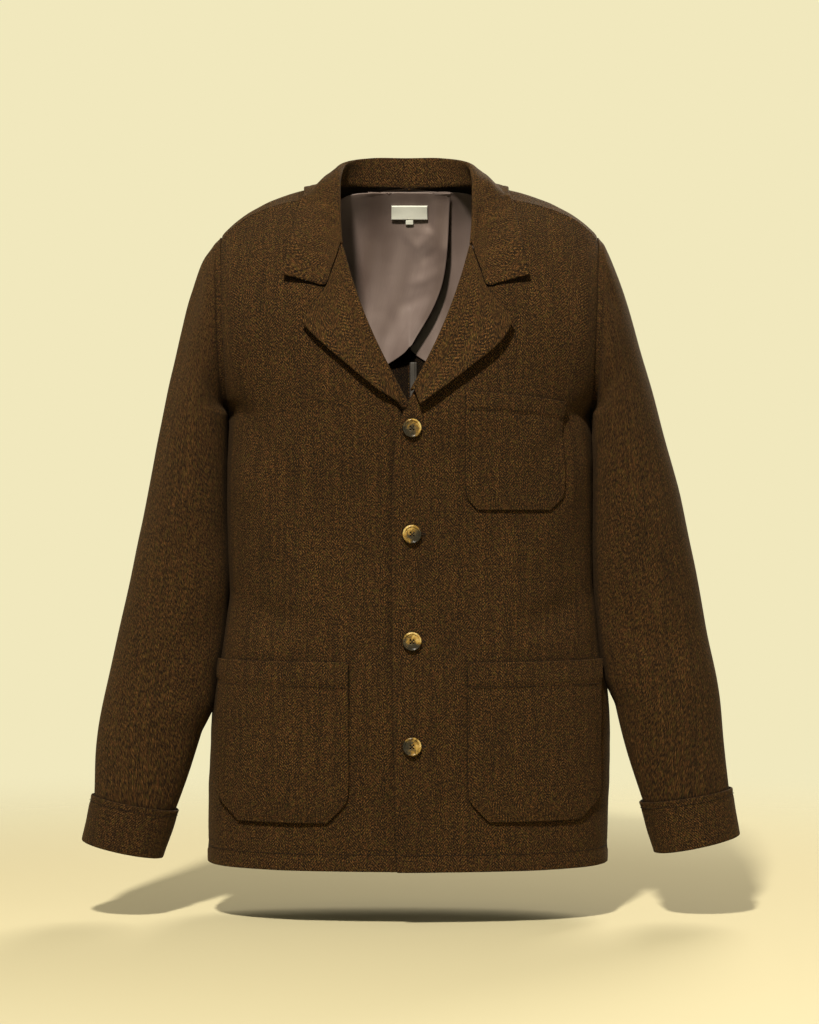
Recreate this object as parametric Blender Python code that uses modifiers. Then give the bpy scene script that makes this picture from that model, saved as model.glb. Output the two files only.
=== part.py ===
"""Work jacket in wool tweed: filled out in its worn shape, with nobody in it.

Metres, +Z up, the fronts towards -Y and the wearer's left towards +X.
The origin is in the neck opening, level with the seam of the collar at the nape.
Each piece of the cut is one cloth wall of its own, a loft through the garment's sections.
"Own side" x grows outwards from the centre on the wearer's right as well as on the left.
"""
import math
from collections import namedtuple

import bmesh
import bpy
import numpy as np
from mathutils import Matrix, Vector
from mathutils.bvhtree import BVHTree

# Driving dimensions
CLOTH = 0.0020          # one layer of tweed
FOLDED = 0.0026         # collar, lapels and cuffs: two layers pressed together
SATIN = 0.0010          # lining, label and binding
SEAM_GAP = 0.0007       # between two panels at a seam, measured on the outside
SHOULDER_GAP = 0.0015   # the same at the shoulder seam, where the walls lean together
LAID_GAP = 0.0009       # under a piece that lies on a panel
LINING_GAP = 0.0014     # between the backs and the lining
SATIN_GAP = 0.0020      # under the second lobe of the lining, and under the label on it
SLEEVE_GAP = 0.0016     # added to the seam gap at the top of the armhole, where the walls mitre
OVERLAP_LIFT = 0.0046   # how far the left front's edge stands off the right front
EDGE_TUCK = 0.0018      # how far the right front's edge is tucked in under it
NECK_X = -0.0035        # the neck opening hangs a little to the wearer's right
ROLL_RADIUS = 0.0033    # of the fold along the collar's and the lapels' ridge

BUTTON_DIAMETER = 0.0200
BUTTON_THICKNESS = 0.0038
BUTTON_HOLE = 0.0018
BUTTON_HOLE_SPACING = 0.0034
BUTTON_X = 0.0025
BUTTON_HEIGHTS = (-0.274, -0.385, -0.498, -0.608)

# The trunk below the armholes. right, left: half widths; front, back: depths from the origin;
# right_edge, left_edge: how far each front reaches past the centre.
Level = namedtuple("Level", "z right left front back right_edge left_edge")
SIDE_SEAM_Y = 0.004
LEVELS = (
    Level(-0.741, 0.2200, 0.2160, 0.110, 0.106, 0.020, 0.0130),
    Level(-0.680, 0.2195, 0.2170, 0.112, 0.109, 0.020, 0.0145),
    Level(-0.620, 0.2175, 0.2190, 0.114, 0.112, 0.020, 0.0160),
    Level(-0.560, 0.2140, 0.2170, 0.114, 0.110, 0.020, 0.0170),
    Level(-0.515, 0.2060, 0.2090, 0.113, 0.104, 0.020, 0.0175),
    Level(-0.465, 0.1980, 0.2040, 0.112, 0.099, 0.020, 0.0180),
    Level(-0.410, 0.1990, 0.2010, 0.113, 0.098, 0.020, 0.0185),
    Level(-0.340, 0.2000, 0.2010, 0.119, 0.103, 0.020, 0.0180),
    Level(-0.292, 0.1980, 0.2000, 0.123, 0.109, 0.017, 0.0145),
)
FLAT_FRONT = 0.64       # share of the half width over which a section stays flat
ROUND_SIDE = 0.70       # share of the depth over which it turns into the side

# The armhole: an egg in a plane that leans in at the bottom.
ARMHOLE_TOP = (0.206, -0.062)       # own-side x, z
ARMHOLE_BOTTOM = (0.197, -0.258)
ARMHOLE_HALF_DEPTH = 0.0715
ARMHOLE_FULLNESS = 0.12             # how much wider the egg is low down

# The panels above the armhole's lowest point. angle: round the armhole from that point, in degrees;
# inner: the edge at the front or the centre back; the pulls are the handles of the curve between.
YokeRow = namedtuple("YokeRow", "angle inner pull_in pull_out")
SHOULDER_SEAM = ((0.088, -0.014, -0.017), (0.040, -0.006, -0.010), (-0.0275, -0.002, 0.041))
FRONT_YOKE = (
    YokeRow(0, (0.000, -0.125, -0.256), (0.122, 0.000, 0.000), (0.000, -0.086, 0.000)),
    YokeRow(38, (0.019, -0.122, -0.215), (0.090, -0.002, 0.000), (-0.008, -0.042, 0.000)),
    YokeRow(72, (0.041, -0.110, -0.170), (0.066, -0.009, -0.002), (-0.014, -0.035, 0.003)),
    YokeRow(101, (0.0585, -0.093, -0.125), (0.054, -0.017, -0.002), (-0.019, -0.034, 0.006)),
    YokeRow(124, (0.070, -0.073, -0.085), (0.047, -0.016, 0.002), (-0.024, -0.029, 0.013)),
    YokeRow(141, (0.080, -0.046, -0.050), (0.042, -0.012, -0.002), (-0.028, -0.017, 0.024)),
    YokeRow(154, *SHOULDER_SEAM),
)
BACK_YOKE = (
    YokeRow(0, (0.000, 0.113, -0.250), (0.120, 0.000, 0.000), (0.000, 0.078, 0.000)),
    YokeRow(38, (0.000, 0.116, -0.205), (0.114, 0.001, 0.000), (-0.007, 0.036, 0.002)),
    YokeRow(72, (0.000, 0.117, -0.155), (0.105, 0.002, -0.002), (-0.015, 0.033, 0.002)),
    YokeRow(101, (0.000, 0.111, -0.108), (0.100, 0.005, -0.002), (-0.021, 0.036, 0.005)),
    YokeRow(124, (0.000, 0.100, -0.066), (0.095, 0.006, -0.002), (-0.025, 0.037, 0.011)),
    YokeRow(144, (0.000, 0.085, -0.030), (0.088, 0.005, -0.004), (-0.0295, 0.0365, 0.021)),
    YokeRow(163, (0.000, 0.066, 0.000), (0.075, 0.000, -0.008), (-0.0335, 0.030, 0.032)),
    YokeRow(180, (0.046, 0.054, 0.001), (0.052, -0.006, -0.005), (-0.038, 0.0245, 0.042)),
    YokeRow(193, (0.078, 0.024, -0.003), (0.040, -0.008, -0.006), (-0.036, 0.0147, 0.0445)),
    YokeRow(206, *SHOULDER_SEAM),
)
NAPE_ROW = 6            # of BACK_YOKE: the centre-back seam ends here
FRONT_BREAK = {"right": 0.001, "left": -0.006}      # own-side x of the edge at the first yoke row

# Sleeve rings. outer and inner: own-side x, z of the points furthest from and nearest to the
# trunk; half_depth: from front to back; centre_y: the arm hangs forward towards the cuff.
SleeveRing = namedtuple("SleeveRing", "outer inner half_depth centre_y")
SLEEVE_RINGS = {
    "right": (
        SleeveRing((0.2140, -0.0730), (0.1995, -0.2600), 0.0750, 0.0040),
        SleeveRing((0.2230, -0.0880), (0.2022, -0.2660), 0.0770, 0.0030),
        SleeveRing((0.2330, -0.1160), (0.2030, -0.2780), 0.0770, 0.0020),
        SleeveRing((0.2430, -0.1480), (0.2026, -0.2920), 0.0760, 0.0010),
        SleeveRing((0.2560, -0.2050), (0.2026, -0.3130), 0.0730, -0.0010),
        SleeveRing((0.2700, -0.2700), (0.2028, -0.3430), 0.0700, -0.0030),
        SleeveRing((0.2840, -0.3400), (0.2023, -0.3850), 0.0660, -0.0050),
        SleeveRing((0.2990, -0.4140), (0.2012, -0.4380), 0.0620, -0.0070),
        SleeveRing((0.3180, -0.5020), (0.2082, -0.5120), 0.0580, -0.0100),
        SleeveRing((0.3320, -0.5680), (0.2195, -0.5780), 0.0530, -0.0150),
        SleeveRing((0.3390, -0.6180), (0.2330, -0.6280), 0.0460, -0.0200),
        SleeveRing((0.3407, -0.6720), (0.2550, -0.6900), 0.0390, -0.0250),
    ),
    "left": (
        SleeveRing((0.2130, -0.0730), (0.1995, -0.2600), 0.0750, 0.0040),
        SleeveRing((0.2190, -0.0870), (0.2028, -0.2660), 0.0770, 0.0030),
        SleeveRing((0.2290, -0.1130), (0.2045, -0.2780), 0.0770, 0.0020),
        SleeveRing((0.2380, -0.1410), (0.2045, -0.2910), 0.0760, 0.0010),
        SleeveRing((0.2540, -0.1960), (0.2042, -0.3110), 0.0730, -0.0010),
        SleeveRing((0.2720, -0.2620), (0.2040, -0.3410), 0.0700, -0.0030),
        SleeveRing((0.2920, -0.3350), (0.2038, -0.3830), 0.0660, -0.0050),
        SleeveRing((0.3090, -0.4140), (0.2050, -0.4340), 0.0620, -0.0070),
        SleeveRing((0.3250, -0.5020), (0.2112, -0.5080), 0.0580, -0.0100),
        SleeveRing((0.3360, -0.5600), (0.2225, -0.5680), 0.0530, -0.0150),
        SleeveRing((0.3400, -0.6100), (0.2350, -0.6200), 0.0460, -0.0200),
        SleeveRing((0.3457, -0.6650), (0.2545, -0.6810), 0.0390, -0.0250),
    ),
}
CUFF_RINGS = {
    "right": (
        SleeveRing((0.3440, -0.6660), (0.2490, -0.6840), 0.0436, -0.0246),
        SleeveRing((0.3490, -0.6920), (0.2575, -0.7100), 0.0436, -0.0255),
        SleeveRing((0.3540, -0.7160), (0.2660, -0.7355), 0.0438, -0.0265),
    ),
    "left": (
        SleeveRing((0.3490, -0.6590), (0.2480, -0.6750), 0.0436, -0.0246),
        SleeveRing((0.3530, -0.6850), (0.2560, -0.7030), 0.0436, -0.0255),
        SleeveRing((0.3570, -0.7100), (0.2640, -0.7300), 0.0438, -0.0265),
    ),
}

# The ridge that collar and lapels are folded over, from the nape to the first button.
# own-side x is measured from the middle of the neck opening.
RIDGE = (
    (0.0000, 0.0700, 0.0320), (0.0400, 0.0600, 0.0310), (0.0610, 0.0400, 0.0270),
    (0.0680, 0.0140, 0.0170), (0.0710, -0.0140, 0.0030), (0.0710, -0.0340, -0.0180),
    (0.0705, -0.0520, -0.0430), (0.0665, -0.0760, -0.0800), (0.0595, -0.0940, -0.1100),
    (0.0500, -0.1070, -0.1400), (0.0360, -0.1180, -0.1720), (0.0227, -0.1240, -0.2000),
    (0.0051, -0.1300, -0.2380),
)
GORGE_STEP = 7          # the ridge point where the collar ends and the lapel begins

# Collar stations. front, row: where on a panel's neck edge it is sewn; ridge_step: place along
# RIDGE; middle and edge: of the fall; rests: the middle lies on the front below it too.
CollarStation = namedtuple("CollarStation", "front row ridge_step middle edge rests")
COLLAR = (
    CollarStation(False, 6.0, 0.0, (0.000, 0.083, 0.010), (0.000, 0.083, -0.018), False),
    CollarStation(False, 7.0, 1.0, (0.055, 0.071, 0.011), (0.063, 0.077, -0.017), False),
    CollarStation(False, 8.0, 2.6, (0.085, 0.036, 0.011), (0.106, 0.042, -0.009), False),
    CollarStation(True, 6.0, 4.0, (0.091, -0.012, -0.001), (0.113, -0.010, -0.013), False),
    CollarStation(True, 5.3, 5.1, (0.094, -0.036, -0.026), (0.118, -0.040, -0.044), False),
    CollarStation(True, 4.6, 6.2, (0.090, -0.066, -0.072), (0.123, -0.068, -0.080), True),
    CollarStation(True, 4.1, 7.0, (0.085, -0.100, -0.123), (0.129, -0.092, -0.116), True),
)

# Lapel stations from the gorge to the break: place along RIDGE, and the outer edge's x, z. The
# first runs down the gorge to its end, then along the lapel's top edge to its point.
LapelStation = namedtuple("LapelStation", "ridge_step edge")
GORGE_END = (0.0850, -0.1230)
LAPELS = {
    "right": (
        LapelStation(7.0, (0.1097, -0.1640)),
        LapelStation(8.1, (0.0985, -0.1760)),
        LapelStation(9.3, (0.0850, -0.1880)),
        LapelStation(10.3, (0.0560, -0.2125)),
        LapelStation(11.2, (0.0310, -0.2325)),
        LapelStation(11.75, (0.0160, -0.2420)),
    ),
    "left": (
        LapelStation(7.0, (0.1120, -0.1630)),
        LapelStation(8.1, (0.1050, -0.1755)),
        LapelStation(9.3, (0.0940, -0.1880)),
        LapelStation(10.3, (0.0640, -0.2130)),
        LapelStation(11.2, (0.0380, -0.2340)),
        LapelStation(11.9, (0.0140, -0.2510)),
    ),
}
GORGE_GAP = 0.0022      # between collar and lapel along the gorge
FALL_SHARES = (1 / 3, 2 / 3, 1.0)
FALL_LIFT = 0.0062      # of the face of the fall above the front, near the ridge
EDGE_LIFT = 0.0042      # and at its edge
COLLAR_LIFT = 0.0054    # the same at the collar's edge, which bridges the shoulder
STAND_INSET = 0.0020    # the collar's stand is sewn this far inside the neck edge
STAND_GAP = 0.0012      # and this far above it
# The turn of a lapel round the front's edge: distances inside the edge and out of the front.
LAPEL_TURN = ((0.0036, -0.0005), (0.0038, 0.0025), (0.0026, 0.0050), (0.0003, 0.0062))

# Patch pockets: own-side x of their edges, z of top and bottom, and the clipped lower corners.
Pocket = namedtuple("Pocket", "side inner outer top bottom clip_inner clip_outer swell")
POCKETS = {
    "pocket_right": Pocket("right", 0.0635, 0.2030, -0.5200, -0.6900, 0.023, 0.022, 0.0030),
    "pocket_left": Pocket("left", 0.0610, 0.2030, -0.5200, -0.6885, 0.022, 0.022, 0.0030),
    "chest_pocket": Pocket("left", 0.0587, 0.1630, -0.2360, -0.3600, 0.012, 0.015, 0.0004),
}

# Half-lining: each lobe hangs from the neck and shoulder and crosses the centre back.
# Own-side x, z of each edge; negative x is across the centre.
LINING_TOP = ((-0.047, -0.004), (0.000, -0.004), (0.046, -0.007), (0.075, -0.022), (0.110, -0.038),
              (0.150, -0.058), (0.182, -0.090))
LINING_FREE_EDGE = ((-0.047, -0.004), (-0.041, -0.080), (-0.029, -0.125), (-0.0024, -0.175))
LINING_HEM = ((-0.0024, -0.175), (0.0175, -0.192), (0.100, -0.235), (0.178, -0.250))
LINING_OUTER = ((0.182, -0.090), (0.186, -0.140), (0.184, -0.190), (0.178, -0.250))

LABEL = ((-0.0205, 0.0205), (-0.0180, -0.0345))     # x from and to, z from and to
SIZE_TAB = ((-0.0041, 0.0041), (-0.0352, -0.0402))
BINDING = ((0.0005, 0.0085), (-0.1930, -0.7330))
BINDING_ROWS = 12

# Facets along and across each piece
TRUNK_ROWS = 9
FRONT_YOKE_ROWS = 11
BACK_YOKE_ROWS = 9
NECK_ROWS = 4
PANEL_COLUMNS = 10
SLEEVE_FACETS = 16
POCKET_COLUMNS = 10
POCKET_ROWS = 6
LINING_COLUMNS = 10
LINING_ROWS = 10
BUTTON_FACETS = 24
SURFACE_COLUMNS = 24    # of the fine facets that the collar and the lapels are laid on
SURFACE_ROWS = 60
GARMENT_MIDDLE = np.array((0.0, SIDE_SEAM_Y, -0.3))

COLOURS = {
    "tweed": (0.052, 0.026, 0.011, 1.0),
    "satin": (0.105, 0.080, 0.068, 1.0),
    "binding": (0.150, 0.120, 0.100, 1.0),
    "woven_label": (0.620, 0.620, 0.560, 1.0),
    "horn": (0.300, 0.190, 0.060, 1.0),
}
ROUGHNESS = {"tweed": 0.95, "satin": 0.42, "binding": 0.60, "woven_label": 0.70, "horn": 0.28}
SIDES = {"right": -1.0, "left": 1.0}


# ---- curves and panels ----------------------------------------------------------------------

def catmull_rom(points, place, corner=-1):
    """The point at `place`, counted in steps between points, on a smooth curve through them.

    The curve may turn sharply at the point numbered `corner`.
    """
    points = np.asarray(points, dtype=float)
    last = len(points) - 1
    step = int(min(max(math.floor(place), 0), last - 1))
    t = place - step
    start, end = points[step], points[step + 1]
    before = 2 * start - end if step in (0, corner) else points[step - 1]
    after = 2 * end - start if step + 1 in (last, corner) else points[step + 2]
    return 0.5 * (2 * start + (end - before) * t
                  + (2 * before - 5 * start + 4 * end - after) * t ** 2
                  + (3 * start - before - 3 * end + after) * t ** 3)


def along(points, share):
    """The point at a share from 0 to 1 of the steps of a smooth curve through points."""
    return catmull_rom(points, share * (len(points) - 1))


def unit(vector):
    return vector / np.linalg.norm(vector)


def armhole_point(angle, sign, offset=0.0):
    """Own-side point of the armhole at an angle in radians; sign -1 runs up the front."""
    rise = (1.0 - math.cos(angle)) / 2.0
    x = ARMHOLE_BOTTOM[0] + (ARMHOLE_TOP[0] - ARMHOLE_BOTTOM[0]) * rise
    z = ARMHOLE_BOTTOM[1] + (ARMHOLE_TOP[1] - ARMHOLE_BOTTOM[1]) * rise
    egg = 1.0 + ARMHOLE_FULLNESS * math.cos(angle)
    y = SIDE_SEAM_Y + sign * ARMHOLE_HALF_DEPTH * egg * math.sin(angle)
    return np.array((x + offset, y, z))


class Panel:
    """A body panel: rows of cubic curves from its inner edge to its side, hem to shoulder."""

    def __init__(self, side, rows, corners):
        self.mirror = np.array((SIDES[side], 1.0, 1.0))
        self.rows = np.array(rows, dtype=float)
        self.last = len(rows) - 1
        self.corners = corners
        self.guesses = [(across, row) for across in np.linspace(0.0, 1.0, 9)
                        for row in np.linspace(0.0, self.last, 2 * self.last + 1)]
        self.guess_places = np.array([self.point(*guess)[[0, 2]] for guess in self.guesses])

    def point(self, across, row):
        row_points = catmull_rom(self.rows, row)
        for column, corner in self.corners.items():
            row_points[column] = catmull_rom(self.rows[:, column], row, corner)
        weights = ((1 - across) ** 3, 3 * across * (1 - across) ** 2,
                   3 * across ** 2 * (1 - across), across ** 3)
        own = sum(weight * point for weight, point in zip(weights, row_points))
        return own * self.mirror

    def normal(self, across, row, step=0.004):
        """Unit normal, pointing out of the garment."""
        low, high = max(row - step, 0.0), min(row + step, self.last)
        up = self.point(across, high) - self.point(across, low)
        out = self.point(across + step, row) - self.point(across - step, row)
        normal = unit(np.cross(out, up))
        place = self.point(across, row) - GARMENT_MIDDLE
        return normal if normal.dot(place) > 0 else -normal

    def inwards(self, row, step=0.002):
        """Unit direction at a row's inner edge, along the panel and off it."""
        return unit(self.point(0.0, row) - self.point(step, row))

    def find(self, x, z):
        """Across and row of the panel's point at a given x and z."""
        goal = np.array((x, z))
        nearest = np.argmin(np.linalg.norm(self.guess_places - goal, axis=1))
        across, row = self.guesses[nearest]
        step = 0.001
        for _ in range(8):
            here = self.point(across, row)[[0, 2]]
            slope = np.array(((self.point(across + step, row)[[0, 2]] - here) / step,
                              (self.point(across, row + step)[[0, 2]] - here) / step)).T
            move = np.linalg.solve(slope, goal - here)
            across = min(max(across + move[0], -0.12), 1.0)
            row = min(max(row + move[1], 0.0), self.last - step)
        return across, row

    def laid(self, x, z, out):
        """The panel's point at x and z, moved out of the garment by `out`."""
        across, row = self.find(x, z)
        return self.point(across, row) + out * self.normal(across, row)


def outer_surface(side):
    """The outside of a front and a back as facets, for pieces that have to lie clear of it."""
    points, facets = [], []
    for panel in (FRONTS[side], BACKS[side]):
        first = len(points)
        rows = np.linspace(0.0, panel.last, SURFACE_ROWS)
        columns = np.linspace(0.0, 1.0, SURFACE_COLUMNS)
        points += [Vector(panel.point(across, row)) for row in rows for across in columns]
        for row in range(SURFACE_ROWS - 1):
            for column in range(SURFACE_COLUMNS - 1):
                corner = first + row * SURFACE_COLUMNS + column
                facets.append((corner, corner + 1, corner + SURFACE_COLUMNS + 1,
                               corner + SURFACE_COLUMNS))
    return BVHTree.FromPolygons(points, facets)


def lifted(side, point, lift):
    """A point, moved out of the garment if need be until it stands `lift` off its surface."""
    nearest, normal, _, _ = SURFACES[side].find_nearest(point)
    nearest, normal = np.array(nearest), np.array(normal)
    if normal.dot(nearest - GARMENT_MIDDLE) < 0:
        normal = -normal
    stand_off = (point - nearest).dot(normal)
    return point + max(lift - stand_off, 0.0) * normal


def edge_lift(side):
    """How far a front's edge stands out of the section, for the left one to lie on the right."""
    return OVERLAP_LIFT if side == "left" else -EDGE_TUCK


def trunk_rows(side, front):
    """Curve rows of a front or a back below the armhole."""
    sign = -1.0 if front else 1.0
    rows = []
    for level in LEVELS:
        width = getattr(level, side)
        depth = level.front if front else level.back
        start_x = -getattr(level, side + "_edge") if front else SEAM_GAP / 2
        lift = edge_lift(side) if front else 0.0
        seam_y = SIDE_SEAM_Y + sign * SEAM_GAP / 2
        rows.append((
            (start_x, sign * (depth + lift), level.z),
            (start_x + FLAT_FRONT * (width - start_x), sign * depth, level.z),
            (width, seam_y + sign * ROUND_SIDE * (depth - SIDE_SEAM_Y * sign), level.z),
            (width, seam_y, level.z),
        ))
    return rows


def yoke_rows(side, front):
    """Curve rows of a front or a back beside the armhole, up to the shoulder seam."""
    sign = -1.0 if front else 1.0
    rows = []
    for row in FRONT_YOKE if front else BACK_YOKE:
        angle = math.radians(row.angle)
        inner = np.array(row.inner)
        inner[0] += SIDES[side] * NECK_X
        if front and row.angle == 0:
            inner[0] = FRONT_BREAK[side]
            inner[1] -= edge_lift(side)
        if not front and inner[2] < 0.0005:
            inner[0] = max(inner[0], 0.0) if row.inner[0] else SEAM_GAP / 2
        outer = armhole_point(angle, sign, -SEAM_GAP / 2)
        if row.angle == 0:
            outer[1] += sign * SEAM_GAP / 2
        if row.inner == SHOULDER_SEAM[0]:
            along_seam = np.array((0.0, -1.0, -0.4)) if front else np.array((0.0, 1.0, 0.4))
            inner += along_seam * SHOULDER_GAP / 2
            outer += along_seam * SHOULDER_GAP / 2
        rows.append((inner, inner + np.array(row.pull_in), outer + np.array(row.pull_out), outer))
    return rows


def body_panel(side, front):
    """The side seam turns into the armhole, and a back's centre seam into its neck edge."""
    inner_edge, side_edge = 0, 3
    corners = {side_edge: len(LEVELS)}
    if not front:
        corners[inner_edge] = len(LEVELS) + NAPE_ROW
    return Panel(side, trunk_rows(side, front) + yoke_rows(side, front), corners)


FRONTS = {side: body_panel(side, True) for side in SIDES}
BACKS = {side: body_panel(side, False) for side in SIDES}
SURFACES = {side: outer_surface(side) for side in SIDES}


# ---- making objects ---------------------------------------------------------------------------

def material(slot):
    made = bpy.data.materials.new(slot)
    made.use_nodes = True
    shader = made.node_tree.nodes["Principled BSDF"]
    shader.inputs["Base Color"].default_value = COLOURS[slot]
    shader.inputs["Roughness"].default_value = ROUGHNESS[slot]
    made.diffuse_color = COLOURS[slot]
    return made


def link(name, mesh, collection, slot):
    made = bpy.data.objects.new(name, mesh)
    made.data.materials.append(material(slot))
    collection.objects.link(made)
    return made


def cloth(name, place, columns, rows, wall, collection, slot="tweed", flip=False, ring=False,
          even=True):
    """One cloth wall: a grid laid on place(u, v), u and v from 0 to 1, thickened inwards."""
    bm = bmesh.new()
    bmesh.ops.create_grid(bm, x_segments=columns, y_segments=rows, size=0.5)
    for vert in bm.verts:
        vert.co = Vector(place(vert.co.x + 0.5, vert.co.y + 0.5))
    if ring:
        bmesh.ops.remove_doubles(bm, verts=bm.verts, dist=1e-6)
    if flip:
        bmesh.ops.reverse_faces(bm, faces=bm.faces)
    mesh = bpy.data.meshes.new(name)
    bm.to_mesh(mesh)
    bm.free()
    mesh.shade_smooth()
    made = link(name, mesh, collection, slot)
    shell = made.modifiers.new("wall", "SOLIDIFY")
    shell.thickness = wall
    shell.offset = -1.0
    shell.use_even_offset = even
    return made


def row_places(front):
    """Row coordinates of a panel's grid lines, with one at each corner of its edges."""
    armhole, nape = len(LEVELS), len(LEVELS) + NAPE_ROW
    low = np.linspace(0, armhole, TRUNK_ROWS, endpoint=False)
    if front:
        return np.concatenate((low, np.linspace(armhole, nape, FRONT_YOKE_ROWS + 1)))
    blade = np.linspace(armhole, nape, BACK_YOKE_ROWS, endpoint=False)
    neck = np.linspace(nape, len(LEVELS) + len(BACK_YOKE) - 1, NECK_ROWS + 1)
    return np.concatenate((low, blade, neck))


def make_panel(name, side, front, collection):
    panel = (FRONTS if front else BACKS)[side]
    places = row_places(front)
    steps = np.linspace(0.0, 1.0, len(places))

    def place(u, v):
        return panel.point(u, float(np.interp(v, steps, places)))

    cloth(name, place, PANEL_COLUMNS, len(places) - 1, CLOTH, collection,
          flip=front == (side == "right"))


# ---- sleeves and cuffs ------------------------------------------------------------------------

def ring_point(side, ring, angle):
    """Own-side ring point; angle 0 is the inner point and a quarter turn the front."""
    outer = np.array((ring.outer[0], ring.centre_y, ring.outer[1]))
    inner = np.array((ring.inner[0], ring.centre_y, ring.inner[1]))
    middle, reach = (outer + inner) / 2, (outer - inner) / 2
    front = np.array((0.0, -ring.half_depth, 0.0))
    return (middle - reach * math.cos(angle) + front * math.sin(angle)) * (SIDES[side], 1, 1)


def sleeve_columns(side, angle):
    """The ring points at one angle, from the armhole down to the end of the sleeve."""
    turn = angle if angle <= math.pi else 2 * math.pi - angle
    gap = SEAM_GAP / 2 + SLEEVE_GAP * ((1 - math.cos(turn)) / 2) ** 2
    start = armhole_point(turn, -1.0 if angle <= math.pi else 1.0, gap)
    points = [start * (SIDES[side], 1, 1)]
    points += [ring_point(side, ring, angle) for ring in SLEEVE_RINGS[side]]
    return points


def make_sleeve(side, collection):
    rings = len(SLEEVE_RINGS[side])

    def place(u, v):
        return along(sleeve_columns(side, 2 * math.pi * (u % 1.0)), v)

    cloth("sleeve_" + side, place, SLEEVE_FACETS, rings, CLOTH, collection,
          flip=side == "left", ring=True)


def make_cuff(side, collection):
    rings = CUFF_RINGS[side]

    def place(u, v):
        return along([ring_point(side, ring, 2 * math.pi * (u % 1.0)) for ring in rings], v)

    cloth("cuff_" + side, place, SLEEVE_FACETS, len(rings) - 1, FOLDED, collection,
          flip=side == "left", ring=True)


# ---- collar and lapels ------------------------------------------------------------------------

def neck_point(side, own):
    """A point given from the middle of the neck opening, on its side of the garment."""
    return np.array((SIDES[side] * own[0] + NECK_X, own[1], own[2]))


def ridge_frame(side, step):
    """The ridge's point at a step and the direction that it runs in there."""
    here = neck_point(side, catmull_rom(RIDGE, step))
    ahead = neck_point(side, catmull_rom(RIDGE, min(step + 0.05, len(RIDGE) - 1)))
    behind = neck_point(side, catmull_rom(RIDGE, max(step - 0.05, 0.0)))
    if step < 0.05:
        behind = ahead * (-1.0, 1.0, 1.0) + np.array((2 * NECK_X, 0.0, 0.0))
    return here, unit(ahead - behind)


def over_ridge(seam, ridge, run, fall_end):
    """From the seam over the ridge to the start of the fall, across the direction `run`."""
    to_seam = seam - ridge
    to_fall = fall_end - ridge
    leg_seam = to_seam - to_seam.dot(run) * run
    leg_fall = to_fall - to_fall.dot(run) * run
    down = unit(unit(leg_seam) + unit(leg_fall))
    across = unit(np.cross(run, down))
    if across.dot(leg_fall - leg_seam) < 0:
        across = -across
    shoulder = ridge + down * ROLL_RADIUS
    return [seam, shoulder - across * ROLL_RADIUS, ridge, shoulder + across * ROLL_RADIUS]


def run_out(start, end, front=None, start_lift=0.0, end_lift=0.0):
    """Points from start to end in equal steps, laid on a front at a fading lift if one is given."""
    points = []
    for share in FALL_SHARES:
        point = start + (end - start) * share
        if front:
            lift = start_lift + (end_lift - start_lift) * share
            point = front.laid(point[0], point[2], lift)
        points.append(point)
    return points


def turned_edge(side, row):
    """The turn round a front's edge at a row, from inside it to where the fall begins."""
    front = FRONTS[side]
    edge, inwards, out = front.point(0.0, row), front.inwards(row), front.normal(0.0, row)
    return [edge + inset * inwards + lift * out for inset, lift in LAPEL_TURN]


def collar_section(side, station):
    """Cross-section of the collar at a station; near the gorge the fall lies on the front."""
    ridge, run = ridge_frame(side, station.ridge_step)
    panel = FRONTS[side] if station.front else BACKS[side]
    row = len(LEVELS) + station.row
    middle = neck_point(side, station.middle)
    edge = neck_point(side, station.edge)
    if station.ridge_step == GORGE_STEP:
        top = turned_edge(side, panel.find(ridge[0], ridge[2])[1])
    else:
        sewn = panel.point(0.0, row)
        seam = sewn + STAND_INSET * panel.inwards(row) + STAND_GAP * unit(ridge - sewn)
        top = over_ridge(seam, ridge, run, middle)
    if not station.rests:
        return top + run_out(top[-1], middle) + run_out(middle, edge)
    upper = run_out(top[-1], middle, panel, FALL_LIFT, EDGE_LIFT)
    return top + upper + run_out(middle, edge, panel, EDGE_LIFT, EDGE_LIFT)


def part_at_gorge(side, section, sign):
    """Move a section off the gorge: sign 1 towards the lapel, -1 towards the collar."""
    _, run = ridge_frame(side, GORGE_STEP)
    turn, fall = section[:len(LAPEL_TURN)], section[len(LAPEL_TURN):]
    gorge = unit(fall[2] - turn[-1])
    down = run - run.dot(gorge) * gorge
    turn += sign * run * GORGE_GAP
    fall += sign * unit(down) * GORGE_GAP / 2


def laid_loft(name, sections, side_of, lift, collection, flip=False):
    """A cloth loft whose fall, past the turn, is kept clear of the panels below it."""
    span = len(sections) - 1
    count = len(sections[0]) - 1

    def place(u, v):
        station, line = u * span, round(v * count)
        point = catmull_rom(sections[:, line], station)
        if line < len(LAPEL_TURN):
            return point
        return lifted(side_of(point), point, lift)

    cloth(name, place, 2 * span, count, FOLDED, collection, flip=flip, even=False)


def make_collar(collection):
    half = {}
    for side in SIDES:
        half[side] = np.array([collar_section(side, station) for station in COLLAR])
        part_at_gorge(side, half[side][-1], -1.0)
    sections = np.concatenate((half["right"][:0:-1], half["left"]))
    laid_loft("collar", sections, lambda point: "left" if point[0] > 0 else "right", COLLAR_LIFT,
              collection)


def lapel_section(side, station):
    """Cross-section of a lapel: from inside the front's edge round it and out to its own edge."""
    front = FRONTS[side]
    ridge, _ = ridge_frame(side, station.ridge_step)
    top = turned_edge(side, front.find(ridge[0], ridge[2])[1])
    edge = neck_point(side, (station.edge[0], top[-1][1], station.edge[1]))
    middle = (top[-1] + edge) / 2
    if station.ridge_step == GORGE_STEP:
        middle = neck_point(side, (GORGE_END[0], top[-1][1], GORGE_END[1]))
    upper = run_out(top[-1], middle, front, FALL_LIFT, EDGE_LIFT)
    return top + upper + run_out(middle, edge, front, EDGE_LIFT, EDGE_LIFT)


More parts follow.
